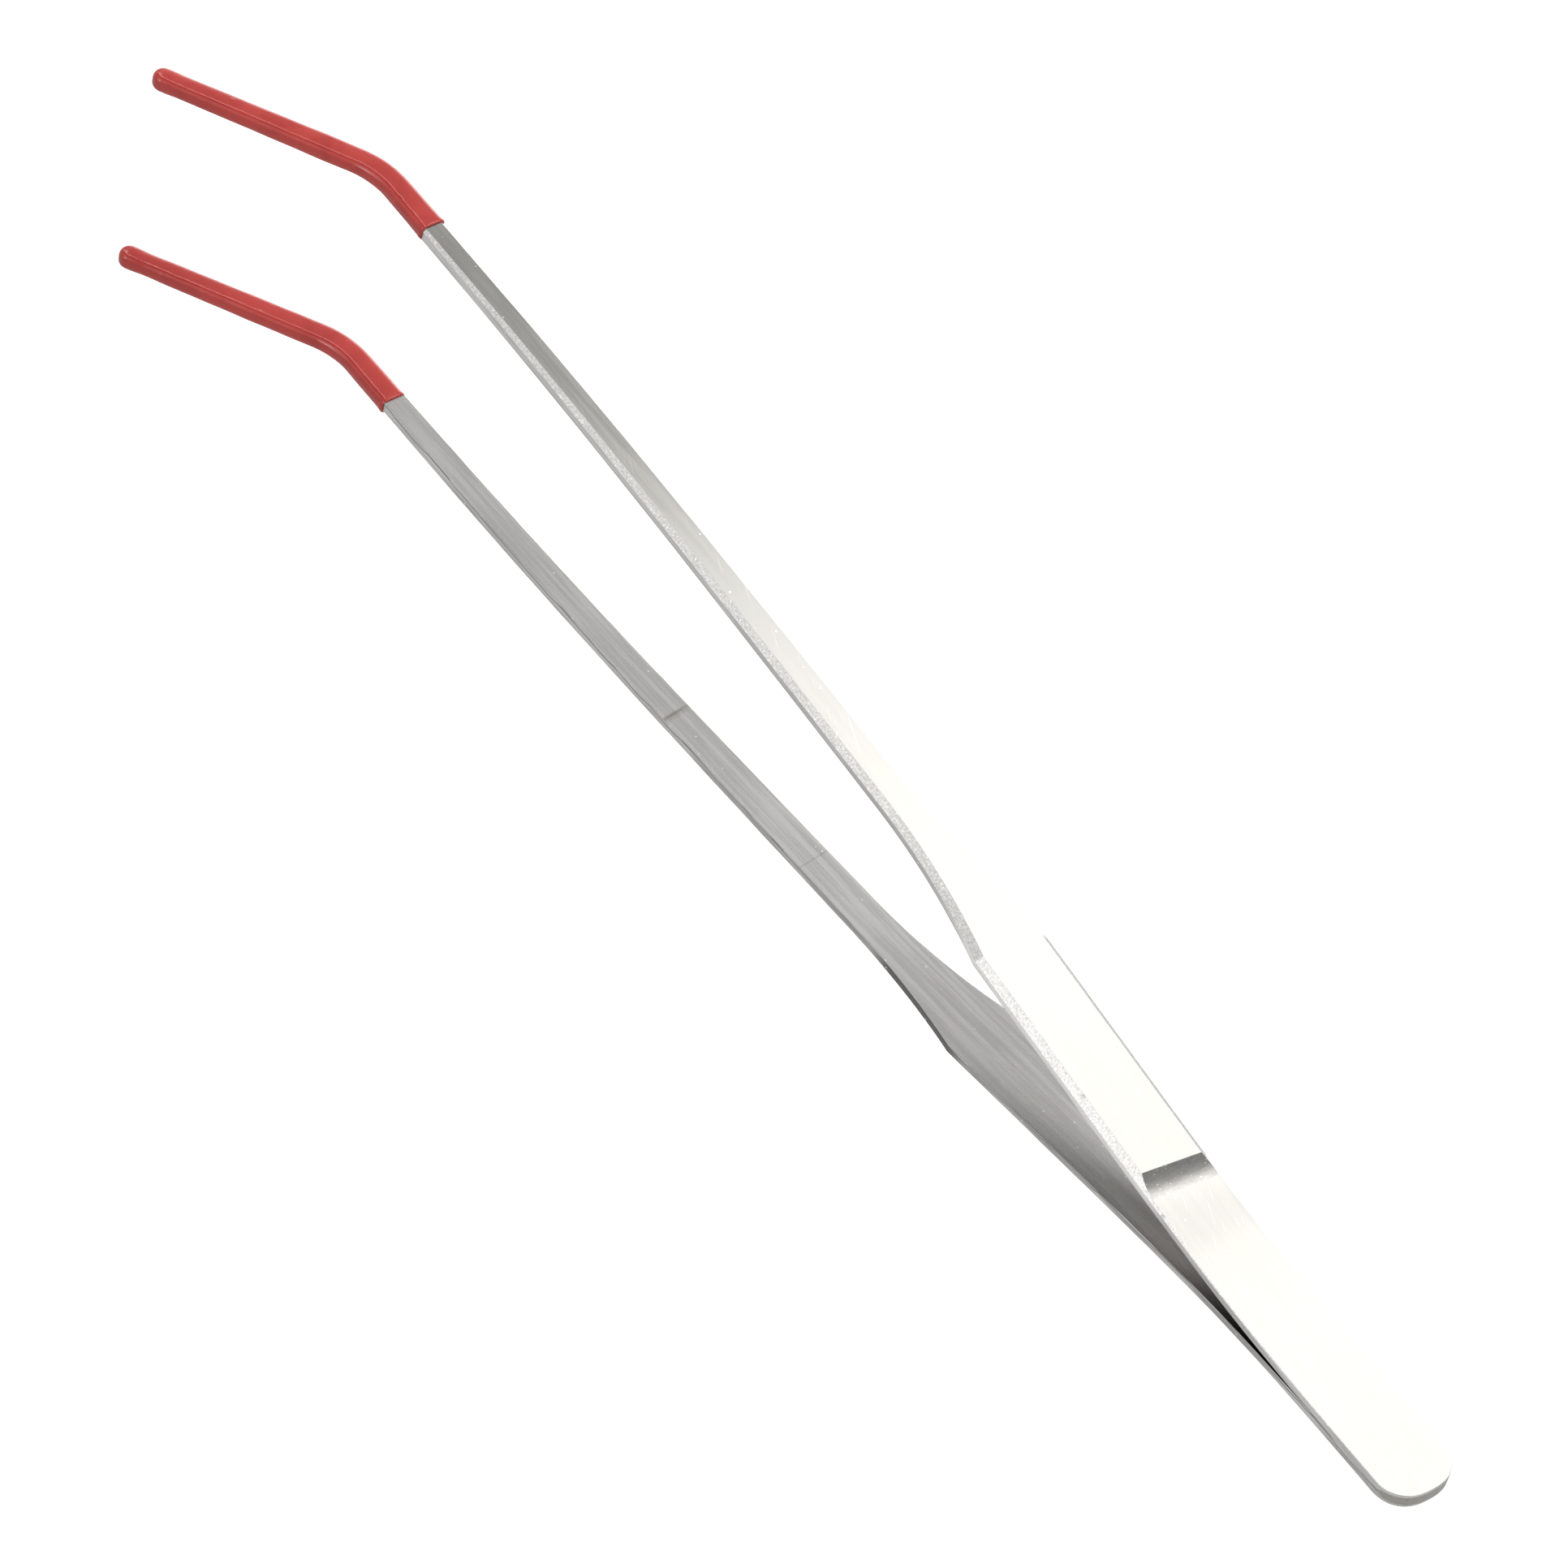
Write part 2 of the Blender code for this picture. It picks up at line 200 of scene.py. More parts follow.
def centre_line(station):
    """The centre line's point in the flat leaf, and its direction as an angle."""
    if station <= BEND_START:
        return Vector((station, 0.0)), 0.0
    turned = min((station - BEND_START) / BEND_RADIUS, BEND_ANGLE)
    point = Vector((BEND_START + BEND_RADIUS * math.sin(turned), BEND_RADIUS * (1 - math.cos(turned))))
    beyond = max(station - BEND_END, 0.0)
    return point + beyond * Vector((math.cos(turned), math.sin(turned))), turned


def edge_point(station, edge):
    """On the leaf's edge: +1 is the one on the inside of the tip's bend, and the upper one, as it lies."""
    point, angle = centre_line(station)
    return point + edge * half_width(station) * Vector((-math.sin(angle), math.cos(angle)))


def edge_normal(station, edge, reach=0.0003):
    along = edge_point(station + reach, edge) - edge_point(station - reach, edge)
    return edge * Vector((-along.y, along.x)).normalized()


def rib(station):
    """Across the leaf at a station: its two edge points, each with the direction out of the edge.
    Near the mill's step the ribs lean with it."""
    near = 1 - fade(abs(station - SPRING_END), STEP_LEAN_FULL, STEP_LEAN_GONE)
    ends = []
    for edge in (-1, 1):
        leaning = station + near * STEP_LEAN[edge]
        ends.append((edge_point(leaning, edge), edge_normal(leaning, edge)))
    return station, ends


def end_curve(turn, reach, half, power):
    """A point on a rounded end, ahead and across, and the direction out of it. A power of 2 is round."""
    ahead, across = math.cos(turn), math.sin(turn)
    point = Vector((reach * ahead ** (2 / power), half * across ** (2 / power)))
    out = Vector((ahead ** (2 - 2 / power) / reach, across ** (2 - 2 / power) / half))
    return point, out.normalized()


def butt_end(turn, edge):
    """The butt's end in the flat leaf: turn is 0 at its foremost point and a right angle at its edge."""
    point, out = end_curve(turn, BUTT_END_REACH, HANDLE_WIDTH / 2, BUTT_END_POWER[edge])
    at = Vector((BUTT_END_START - point.x, edge * point.y))
    return at, Vector((-out.x, edge * out.y))


def butt_ribs(count):
    ribs = []
    for turn in spread(0.0, math.pi / 2, count)[:-1]:
        ends = [butt_end(turn, edge) for edge in (-1, 1)]
        ribs.append((min(ends[0][0].x, ends[1][0].x), ends))
    return ribs


def tip_ribs(count):
    """Ribs from the foremost point of the tip back to where it is full width."""
    centre, angle = centre_line(TIP_CENTRE)
    ahead = Vector((math.cos(angle), math.sin(angle)))
    across = Vector((-math.sin(angle), math.cos(angle)))
    half = half_width(TIP_CENTRE)
    ribs = []
    for turn in spread(0.0, math.pi / 2, count)[:-1]:
        ends = []
        for edge in (-1, 1):
            out = ahead * math.cos(turn) + across * edge * math.sin(turn)
            ends.append((centre + half * out, out))
        ribs.append((TIP_CENTRE + half * math.cos(turn), ends))
    return ribs


def leaf_stations():
    """Stations of the ribs between the two round ends, closer together where the leaf changes."""
    run_start = SPRING_END - RUN_OUT
    wanted = spread(BUTT_END_START, TIP_CENTRE, round((TIP_CENTRE - BUTT_END_START) / RIB_PITCH))
    wanted += spread(run_start, SPRING_END, round(RUN_OUT / FINE_PITCH))
    wanted += [SPRING_END + FINE_PITCH / 4, SPRING_END + FINE_PITCH]
    wanted += spread(HANDLE_END - 3 * FINE_PITCH, HANDLE_END + 3 * FINE_PITCH, 6)
    wanted += spread(CORE_START - CORE_STEP, CORE_START, 3)
    return sorted({round(station, 6) for station in wanted})


def thickness(station):
    """Spring thickness, a shallow taper, then the run-out that rises on a radius to the step's edge."""
    if station >= SPRING_END:
        return STOCK_THICKNESS
    run_start = SPRING_END - RUN_OUT
    taper = SPRING_THICKNESS + TAPER_RISE * fade(station, run_start - TAPER_LENGTH, run_start)
    rise = STOCK_THICKNESS - SPRING_THICKNESS - TAPER_RISE
    radius = (RUN_OUT**2 + rise**2) / (2 * rise)
    return taper + radius - math.sqrt(radius**2 - max(station - run_start, 0.0) ** 2)


def ground_bevel(station, edge):
    """The bevel's width at one place, with the waver of a hand-ground edge."""
    waver = noise.noise(Vector((station * WAVERS_PER_METRE, edge * 7.0, 0.0)))
    nick = max(noise.noise(Vector((station * NICKS_PER_METRE, edge * 3.0, 5.0))) - NICK_RARITY, 0.0)
    return along_table(BEVEL_WIDTHS, station) + BEVEL_WAVER * (waver - NICK_DEPTH * nick)


def leaf_edge(station, edge):
    """Half a rib's section, from inner face to outer face: (inset from the edge, height, finish)."""
    full = thickness(station)
    bevel = ground_bevel(station, edge)
    shoulder = min(STOCK_THICKNESS - bevel, full - EDGE_BREAK * 0.7)
    rise = full - shoulder
    points = [(EDGE_BREAK * 1.7, 0.0, "inner_face")]
    for turn in spread(0.0, math.pi / 2, BREAK_POINTS):
        points.append((EDGE_BREAK * (1 - math.sin(turn)), EDGE_BREAK * (1 - math.cos(turn)), "side"))
    points.append((0.0, (EDGE_BREAK + shoulder) / 2, "side"))
    points.append((0.0, shoulder - EDGE_BREAK * 0.4, "side"))
    for share in spread(0.0, 1.0, BEVEL_POINTS):
        crown = BEVEL_CROWN * rise * math.sin(math.pi * share)
        points.append((share * rise - crown * 0.5, shoulder + share * rise + crown * 0.5, "bevel"))
    points[-1] = (rise, full, "outer_face")
    points.append((rise + EDGE_BREAK * 0.7, full, "outer_face"))
    inset = CORE_INSET * fade(station, CORE_START - CORE_STEP, CORE_START)
    return [(out + inset, min(max(up, inset), full - inset), finish) for out, up, finish in points]


def leaf_section(station, ends):
    """One closed ring of the leaf: (flat point, finish of the face that follows it, its grain place)."""
    halves = []
    for (point, normal), edge in zip(ends, (-1, 1)):
        half = []
        for inset, height, finish in leaf_edge(station, edge):
            at = point - normal * inset
            grain_at = Vector((station, edge * SIDE_MAP_SHIFT + height))
            half.append((Vector((at.x, at.y, height)), finish, grain_at))
        halves.append(half)
    lower, upper = halves
    milled = SPRING_END - RUN_OUT < station + 1e-9 and station < SPRING_END - 1e-9
    face = "run_out" if milled else "outer_face"
    ring = list(lower[:-1])
    for share in spread(0.0, 1.0, FACE_POINTS):
        at = lower[-1][0].lerp(upper[-1][0], share)
        ring.append((at, face, at.xy))
    ring += [(at, finish, place) for (at, _, place), (_, finish, _) in zip(upper[-2::-1], upper[-3::-1])]
    ring.append((upper[0][0], "inner_face", upper[0][2]))
    for share in spread(0.0, 1.0, FACE_POINTS)[1:-1]:
        at = upper[0][0].lerp(lower[0][0], share)
        ring.append((at, "inner_face", at.xy))
    return ring


BOW = [(length * share, math.radians(degrees)) for length, share, degrees in BOW_ARCS]
STRAIGHT = 1e-6


@functools.cache
def bow_at(station):
    """Where a distance along the flat leaf lies once bowed: (along, out, slope)."""
    along = 0.0
    out = 0.0
    slope = 0.0
    left = station
    for length, end_slope in BOW:
        stretch = min(max(left, 0.0), length)
        turned = (end_slope - slope) * stretch / length
        if abs(turned) < STRAIGHT:
            along += stretch * math.cos(slope)
            out += stretch * math.sin(slope)
        else:
            radius = stretch / turned
            along += radius * (math.sin(slope + turned) - math.sin(slope))
            out += radius * (math.cos(slope) - math.cos(slope + turned))
        left -= stretch
        slope += turned
        if left <= 0.0:
            break
    return along + min(station, 0.0) + max(left, 0.0), out, slope


def bowed(flat, side):
    """From the flat leaf to its place on the left (+1) or the right (-1). The laps close to a seam."""
    along, out, slope = bow_at(round(flat.x, 7))
    closed = (HALF_GAP - SEAM / 2) * (1 - fade(flat.x, LAP_LENGTH, SPRING_END))
    along -= math.sin(slope) * flat.z
    out += math.cos(slope) * flat.z + HALF_GAP - closed
    return Vector((BUTT_X + along, side * out, MIDDLE_Z + flat.y))


def new_piece(name, solid):
    """Make an object in the scene from a finished bmesh."""
    mesh = bpy.data.meshes.new(name)
    solid.to_mesh(mesh)
    solid.free()
    obj = bpy.data.objects.new(name, mesh)
    bpy.context.scene.collection.objects.link(obj)
    return obj


# Where two finishes meet in a crisp edge, and not in a rounded one.
CRISP_EDGES = ({"bevel", "outer_face"}, {"bevel", "run_out"}, {"bevel", "side"})


def loft(name, rings, side, finishes):
    """A closed mesh through rings of equal length, whose first and last rings each shrink to a line.
    The grain map holds each corner's place on the flat leaf, in millimetres."""
    solid = bmesh.new()
    grain = solid.loops.layers.uv.new("grain")
    rows = [[solid.verts.new(bowed(at, side)) for at, _, _ in ring] for ring in rings]
    count = len(rings[0])
    for i in range(len(rows) - 1):
        for k in range(count):
            after = (k + 1) % count
            corners = [(i, k), (i, after), (i + 1, after), (i + 1, k)]
            face = solid.faces.new([rows[row][column] for row, column in corners])
            face.smooth = True
            finish = rings[i][k][1]
            face.material_index = finishes.index(finish)
            flat = finish.endswith("face") or finish == "run_out"
            for loop, (row, column) in zip(face.loops, corners):
                at, _, place = rings[row][column]
                loop[grain].uv = (at.xy if flat else place) * 1000
    bmesh.ops.remove_doubles(solid, verts=solid.verts, dist=1e-7)
    bmesh.ops.recalc_face_normals(solid, faces=solid.faces)
    for edge in solid.edges:
        meeting = {finishes[face.material_index] for face in edge.link_faces}
        edge.smooth = meeting not in CRISP_EDGES
    return new_piece(name, solid)


# The steel's finishes. Every one of them starts from the same place on the flat leaf, in millimetres.


def add(tree, kind, settings=(), **inputs):
    """Add a node, set its properties, and set or link its inputs by name."""
    node = tree.nodes.new(kind)
    for key, value in settings:
        setattr(node, key, value)
    for key, value in inputs.items():
        socket = node.inputs[key.replace("_", " ")]
        if isinstance(value, bpy.types.NodeSocket):
            tree.links.new(value, socket)
        else:
            socket.default_value = value
    return node


def math_of(tree, operation, first, second=0.0):
    node = tree.nodes.new("ShaderNodeMath")
    node.operation = operation
    for socket, value in zip(node.inputs, (first, second)):
        if isinstance(value, bpy.types.NodeSocket):
            tree.links.new(value, socket)
        else:
            socket.default_value = value
    return node.outputs[0]


def weigh(tree, *pairs):
    """The sum of (value, weight) pairs."""
    total = None
    for value, weight in pairs:
        part = math_of(tree, "MULTIPLY", value, weight)
        total = part if total is None else math_of(tree, "ADD", total, part)
    return total


def remap(tree, value, low, high, to_low=0.0, to_high=1.0):
    """A smooth step from to_low, where the value is at or before low, to to_high."""
    node = add(
        tree, "ShaderNodeMapRange", [("interpolation_type", "SMOOTHSTEP")],
        Value=value, From_Min=low, From_Max=high, To_Min=to_low, To_Max=to_high,
    )
    return node.outputs[0]


def between(tree, value, low, high, soft):
    """1 between low and high, fading out over soft on both sides."""
    risen = remap(tree, value, low - soft, low)
    return math_of(tree, "MULTIPLY", risen, remap(tree, value, high, high + soft, 1.0, 0.0))


def mix_colour(tree, factor, first, second):
    """From the first colour, where the factor is 0, to the second."""
    node = tree.nodes.new("ShaderNodeMix")
    node.data_type = "RGBA"
    for socket, value in ((node.inputs[0], factor), (node.inputs[6], first), (node.inputs[7], second)):
        if isinstance(value, bpy.types.NodeSocket):
            tree.links.new(value, socket)
        else:
            socket.default_value = (*value, 1.0) if isinstance(value, tuple) else value
    return node.outputs[2]


def new_group(name, inputs, outputs):
    """A shader node group with a vector input called Place and float inputs, and its two end nodes."""
    group = bpy.data.node_groups.new(name, "ShaderNodeTree")
    group.interface.new_socket("Place", in_out="INPUT", socket_type="NodeSocketVector")
    for label, default in inputs:
        socket = group.interface.new_socket(label, in_out="INPUT", socket_type="NodeSocketFloat")
        socket.default_value = default
    for label in outputs:
        group.interface.new_socket(label, in_out="OUTPUT", socket_type="NodeSocketFloat")
    return group, group.nodes.new("NodeGroupInput"), group.nodes.new("NodeGroupOutput")


def use(tree, group, **inputs):
    """Place a group in a material and give its outputs."""
    return add(tree, "ShaderNodeGroup", [("node_tree", group)], **inputs).outputs


def scaled_place(group, given):
    """A group's Place divided by its Size, and moved aside by its Seed."""
    scaled = add(group, "ShaderNodeVectorMath", [("operation", "DIVIDE")], Vector=given.outputs["Place"])
    group.links.new(given.outputs["Size"], scaled.inputs[1])
    lift = add(group, "ShaderNodeCombineXYZ", Z=given.outputs["Seed"])
    spot = add(group, "ShaderNodeVectorMath", [("operation", "ADD")], Vector=scaled.outputs[0])
    group.links.new(lift.outputs[0], spot.inputs[1])
    return spot.outputs[0]


def new_brushed_grain():
    """Fine lines along the leaf: long thin ones over shorter, broader streaks."""
    group, given, result = new_group(
        "brushed_grain", [("Line Length", 30.0), ("Line Width", 0.14), ("Seed", 0.0)], ["Lines", "Streaks"]
    )
    place = add(group, "ShaderNodeSeparateXYZ", Vector=given.outputs["Place"])
    for label, longer, wider, detail in (("Lines", 1.0, 1.0, 3.0), ("Streaks", 0.7, 7.0, 2.0)):
        along = math_of(group, "DIVIDE", place.outputs["X"], given.outputs["Line Length"])
        across = math_of(group, "DIVIDE", place.outputs["Y"], given.outputs["Line Width"])
        along = math_of(group, "DIVIDE", along, longer)
        across = math_of(group, "DIVIDE", across, wider)
        spot = add(group, "ShaderNodeCombineXYZ", X=along, Y=across, Z=given.outputs["Seed"])
        lines = add(group, "ShaderNodeTexNoise", Vector=spot.outputs[0], Scale=1.0, Detail=detail)
        group.links.new(lines.outputs["Fac"], result.inputs[label])
    return group


def new_scratches():
    """Hairlines at one angle to the leaf, few and short."""
    group, given, result = new_group(
        "hairline_scratches", [("Angle", 0.5), ("Length", 6.0), ("Width", 0.10), ("Seed", 0.0)], ["Mask"]
    )
    turned = add(
        group, "ShaderNodeVectorRotate", [("rotation_type", "Z_AXIS")],
        Vector=given.outputs["Place"], Angle=given.outputs["Angle"],
    )
    place = add(group, "ShaderNodeSeparateXYZ", Vector=turned.outputs[0])
    along = math_of(group, "DIVIDE", place.outputs["X"], given.outputs["Length"])
    across = math_of(group, "DIVIDE", place.outputs["Y"], given.outputs["Width"])
    spot = add(group, "ShaderNodeCombineXYZ", X=along, Y=across, Z=given.outputs["Seed"])
    lines = add(group, "ShaderNodeTexNoise", Vector=spot.outputs[0], Scale=1.0, Detail=1.0)
    group.links.new(remap(group, lines.outputs["Fac"], 0.70, 0.76), result.inputs["Mask"])
    return group


def new_flecks():
    """Scattered bright specks, each in a cell of its own."""
    group, given, result = new_group("flecks", [("Size", 0.5), ("Share", 0.05), ("Seed", 0.0)], ["Mask"])
    cells = add(group, "ShaderNodeTexVoronoi", Vector=scaled_place(group, given), Scale=1.0)
    near = remap(group, cells.outputs["Distance"], 0.12, 0.34, 1.0, 0.0)
    draw = add(group, "ShaderNodeSeparateColor", Color=cells.outputs["Color"])
    chosen = math_of(group, "LESS_THAN", draw.outputs[0], given.outputs["Share"])
    group.links.new(math_of(group, "MULTIPLY", near, chosen), result.inputs["Mask"])
    return group


def new_clouding():
    """The faint uneven dulling that handling leaves on satin steel."""
    group, given, result = new_group("handling_clouds", [("Size", 9.0), ("Seed", 0.0)], ["Cloud"])
    spot = scaled_place(group, given)
    cloud = add(group, "ShaderNodeTexNoise", Vector=spot, Scale=1.0, Detail=4.0, Distortion=0.6)
    group.links.new(cloud.outputs["Fac"], result.inputs["Cloud"])
    return group


def new_rub_arcs():
    """Fine arcs round one centre, as a twist on an abrasive pad leaves. They fade away from the centre."""
    group, given, result = new_group(
        "rub_arcs", [("Centre X", 0.0), ("Centre Y", 0.0), ("Spacing", 0.4), ("Reach", 5.0)], ["Mask"]
    )
    centre = add(group, "ShaderNodeCombineXYZ", X=given.outputs["Centre X"], Y=given.outputs["Centre Y"])
    offset = add(group, "ShaderNodeVectorMath", [("operation", "SUBTRACT")], Vector=given.outputs["Place"])
    group.links.new(centre.outputs[0], offset.inputs[1])
    length = add(group, "ShaderNodeVectorMath", [("operation", "LENGTH")], Vector=offset.outputs[0])
    away = length.outputs["Value"]
    waver = add(group, "ShaderNodeTexNoise", Vector=given.outputs["Place"], Scale=0.35, Detail=2.0)
    turns = math_of(group, "DIVIDE", away, given.outputs["Spacing"])
    turns = math_of(group, "ADD", turns, math_of(group, "MULTIPLY", waver.outputs["Fac"], 2.5))
    rings = math_of(group, "SINE", math_of(group, "MULTIPLY", turns, 2 * math.pi))
    rings = remap(group, rings, 0.0, 0.95)
    share = math_of(group, "DIVIDE", away, given.outputs["Reach"])
    rings = math_of(group, "MULTIPLY", rings, remap(group, share, 0.35, 1.0, 1.0, 0.0))
    rings = math_of(group, "MULTIPLY", rings, remap(group, share, 0.1, 0.3))
    patch = add(group, "ShaderNodeTexNoise", Vector=given.outputs["Place"], Scale=0.55, Detail=1.0)
    rings = math_of(group, "MULTIPLY", rings, remap(group, patch.outputs["Fac"], 0.38, 0.60))
    group.links.new(rings, result.inputs["Mask"])
    return group


BRUSHED_GRAIN = new_brushed_grain()
RUB_ARCS = new_rub_arcs()
SCRATCHES = new_scratches()
FLECKS = new_flecks()
CLOUDING = new_clouding()


def new_finish(name, metallic, roughness):
    """A material, its node tree and its shader."""
    material = bpy.data.materials.new(name)
    material.use_nodes = True
    tree = material.node_tree
    shader = tree.nodes["Principled BSDF"]
    shader.inputs["Metallic"].default_value = metallic
    shader.inputs["Roughness"].default_value = roughness
    return material, tree, shader


def grain_place(tree):
    """The place on the flat leaf, in millimetres."""
    return add(tree, "ShaderNodeUVMap", [("uv_map", "grain")]).outputs[0]


def raise_surface(tree, shader, height, distance, strength=1.0):
    bump = add(tree, "ShaderNodeBump", Height=height, Distance=distance, Strength=strength)
    tree.links.new(bump.outputs[0], shader.inputs["Normal"])


# Painted shade between the leaves on an inner face, darkest where they close towards the butt, in
# millimetres along the leaf: it is full at one place and gone at the other. A weaker share of it
# reaches further, up over the handle.
GAP_SHADE_GONE = 54.0
GAP_SHADE_FULL = 24.0
SHADE_TAIL_GONE = 150.0
SHADE_TAIL_FULL = 85.0
SHADE_TAIL_SHARE = 0.16


def satin_face(name, dark, light, rough, seed, hairlines, arcs=(), cross_marks=(), gap_shade=0.0):
    """A brushed face: lines along the leaf, a little clouding, hairlines and a few bright specks. Each of
    the cross marks is a place along the leaf, a width and a strength."""
    material, tree, shader = new_finish(name, 1.0, rough)
    shader.inputs["Anisotropic"].default_value = 0.45
    place = grain_place(tree)
    grain = use(tree, BRUSHED_GRAIN, Place=place, Seed=seed)
    cloud = use(tree, CLOUDING, Place=place, Seed=seed)["Cloud"]
    lines = remap(tree, grain["Lines"], 0.30, 0.70)
    streaks = remap(tree, grain["Streaks"], 0.32, 0.68)
    shade = weigh(tree, (lines, 0.28), (streaks, 0.42), (cloud, 0.30))
    colour = mix_colour(tree, shade, dark, light)
    marks = use(tree, FLECKS, Place=place, Size=0.55, Share=0.012, Seed=seed)["Mask"]
    for angle, length in hairlines:
        hair = use(tree, SCRATCHES, Place=place, Angle=angle, Length=length, Seed=seed + angle)["Mask"]
        marks = math_of(tree, "MAXIMUM", marks, math_of(tree, "MULTIPLY", hair, 0.22))
    colour = mix_colour(tree, math_of(tree, "MULTIPLY", marks, 0.75), colour, (0.95, 0.94, 0.91))
    for centre_x, centre_y, spacing, reach in arcs:
        rings = use(
            tree, RUB_ARCS, Place=place, Centre_X=centre_x, Centre_Y=centre_y, Spacing=spacing, Reach=reach
        )["Mask"]
        colour = mix_colour(tree, math_of(tree, "MULTIPLY", rings, 0.13), colour, (0.22, 0.21, 0.19))
    parts = add(tree, "ShaderNodeSeparateXYZ", Vector=place)
    for along, width, strength in cross_marks:
        slant = weigh(tree, (parts.outputs["X"], 1.0), (parts.outputs["Y"], 0.12))
        mark = between(tree, slant, along, along + width, width)
        mark = math_of(tree, "MULTIPLY", mark, remap(tree, cloud, 0.38, 0.55, strength * 0.4, strength))
        colour = mix_colour(tree, mark, colour, (0.20, 0.185, 0.16))
    # Painted shade between the leaves: the inner face's colour darkens towards the butt.
    if gap_shade:
        closing_shade = remap(tree, parts.outputs["X"], GAP_SHADE_GONE, GAP_SHADE_FULL, 0.0, gap_shade)
        shade_tail = remap(tree, parts.outputs["X"], SHADE_TAIL_GONE, SHADE_TAIL_FULL, 0.0, SHADE_TAIL_SHARE * gap_shade)
        colour = mix_colour(tree, math_of(tree, "MAXIMUM", closing_shade, shade_tail), colour, (0.11, 0.10, 0.088))
    tree.links.new(colour, shader.inputs["Base Color"])
    tree.links.new(remap(tree, shade, 0.2, 0.8, rough - 0.03, rough + 0.03), shader.inputs["Roughness"])
    height = math_of(tree, "SUBTRACT", lines, math_of(tree, "MULTIPLY", marks, 0.8))
    raise_surface(tree, shader, height, 0.0000009)
    return material


def blasted_bevel():
    """The ground bevel, left with a coarse glittering grain, with painted shade in a broken dark strip along
    the handle's lower edge.
    """
    material, tree, shader = new_finish("blasted_bevel", 1.0, 0.34)
    place = grain_place(tree)
    coarse = add(tree, "ShaderNodeTexNoise", Vector=place, Scale=3.6, Detail=3.0)
    fine = add(tree, "ShaderNodeTexNoise", Vector=place, Scale=8.0, Detail=2.0)
    grit = math_of(tree, "ADD", coarse.outputs["Fac"], math_of(tree, "MULTIPLY", fine.outputs["Fac"], 0.5))
    colour = mix_colour(tree, remap(tree, grit, 0.55, 0.95), (0.46, 0.45, 0.435), (0.68, 0.667, 0.65))
    glints = use(tree, FLECKS, Place=place, Size=0.30, Share=0.16)["Mask"]
    colour = mix_colour(tree, glints, colour, (1.0, 0.99, 0.97))
    chips = use(tree, FLECKS, Place=place, Size=1.7, Share=0.05, Seed=3.0)["Mask"]
    colour = mix_colour(tree, math_of(tree, "MULTIPLY", chips, 0.45), colour, (0.25, 0.24, 0.22))
    parts = add(tree, "ShaderNodeSeparateXYZ", Vector=place)
    # Painted shade: a broken dark strip on the bevel of the lower edge, along the handle.
    handle = between(tree, parts.outputs["X"], SPRING_END * 1000, HANDLE_END * 1000 - 2.0, 2.0)
    lower = math_of(tree, "LESS_THAN", parts.outputs["Y"], 0.0)
    lower_edge_shade = math_of(tree, "MULTIPLY", handle, lower)
    lower_edge_shade = math_of(tree, "MULTIPLY", lower_edge_shade, remap(tree, coarse.outputs["Fac"], 0.30, 0.42))
    colour = mix_colour(tree, lower_edge_shade, colour, (0.16, 0.155, 0.145))
    tree.links.new(colour, shader.inputs["Base Color"])
    tree.links.new(remap(tree, glints, 0.0, 1.0, 0.38, 0.15), shader.inputs["Roughness"])
    raise_surface(tree, shader, grit, 0.000014)
    return material


# Dirt by a side's inner edge, in millimetres: how far it reaches up the side, and how far it drifts.
DIRT_REACH = 0.10
DIRT_SOFT = 0.08
DIRT_DRIFT = 0.30


def cut_side(name, dark, light, burr, patch, painted_shading_colour):
    """The edge of the sheet, ground along its length over the faint steps that the cutting left. A burr
    catches dirt along the inner face's edge. On the left leaf the end of the flare is painted dark, as
    painted shade, and on the right leaf the handle is painted light, as a painted highlight."""
    material, tree, shader = new_finish(name, 1.0, 0.36)
    place = grain_place(tree)
    grain = use(tree, BRUSHED_GRAIN, Place=place, Line_Length=14.0, Line_Width=0.28, Seed=3.0)
    ripple = add(
        tree, "ShaderNodeMapping", [("vector_type", "POINT")], Vector=place, Scale=(3.0, 0.35, 1.0)
    )
    cross = add(tree, "ShaderNodeTexNoise", Vector=ripple.outputs[0], Scale=1.0, Detail=3.0)
    streaks = remap(tree, grain["Streaks"], 0.35, 0.65)
    shade = weigh(tree, (remap(tree, grain["Lines"], 0.3, 0.7), 0.5), (streaks, 0.5))
    colour = mix_colour(tree, shade, dark, light)
    parts = add(tree, "ShaderNodeSeparateXYZ", Vector=place)
    # The patch is painted light and shade: painted shade at the end of the left leaf's flare, painted light
    # on the right leaf's handle.
    painted_shading = between(tree, parts.outputs["X"], patch[0], patch[1], patch[2])
    painted_shading = math_of(tree, "MULTIPLY", painted_shading, remap(tree, cross.outputs["Fac"], 0.25, 0.45, 0.7, 1.0))
    colour = mix_colour(tree, painted_shading, colour, painted_shading_colour)
    up = math_of(tree, "ABSOLUTE", parts.outputs["Y"])
    up = math_of(tree, "ABSOLUTE", math_of(tree, "SUBTRACT", up, SIDE_MAP_SHIFT * 1000))
    drift = add(tree, "ShaderNodeTexNoise", Vector=place, Scale=0.16, Detail=3.0)
    up = math_of(tree, "SUBTRACT", up, remap(tree, drift.outputs["Fac"], 0.35, 0.65, 0.0, DIRT_DRIFT))
    dirt = between(tree, up, 0.0, DIRT_REACH, DIRT_SOFT)
    dirt = math_of(tree, "MULTIPLY", dirt, remap(tree, grain["Streaks"], 0.35, 0.55, 0.15 * burr, burr))
    colour = mix_colour(tree, dirt, colour, (0.17, 0.165, 0.155))
    nicks = use(tree, FLECKS, Place=place, Size=0.6, Share=0.05, Seed=2.0)["Mask"]
    colour = mix_colour(tree, nicks, colour, (0.85, 0.84, 0.82))
    tree.links.new(colour, shader.inputs["Base Color"])
    height = math_of(tree, "ADD", shade, math_of(tree, "MULTIPLY", cross.outputs["Fac"], 0.5))
    raise_surface(tree, shader, height, 0.000004)
    return material


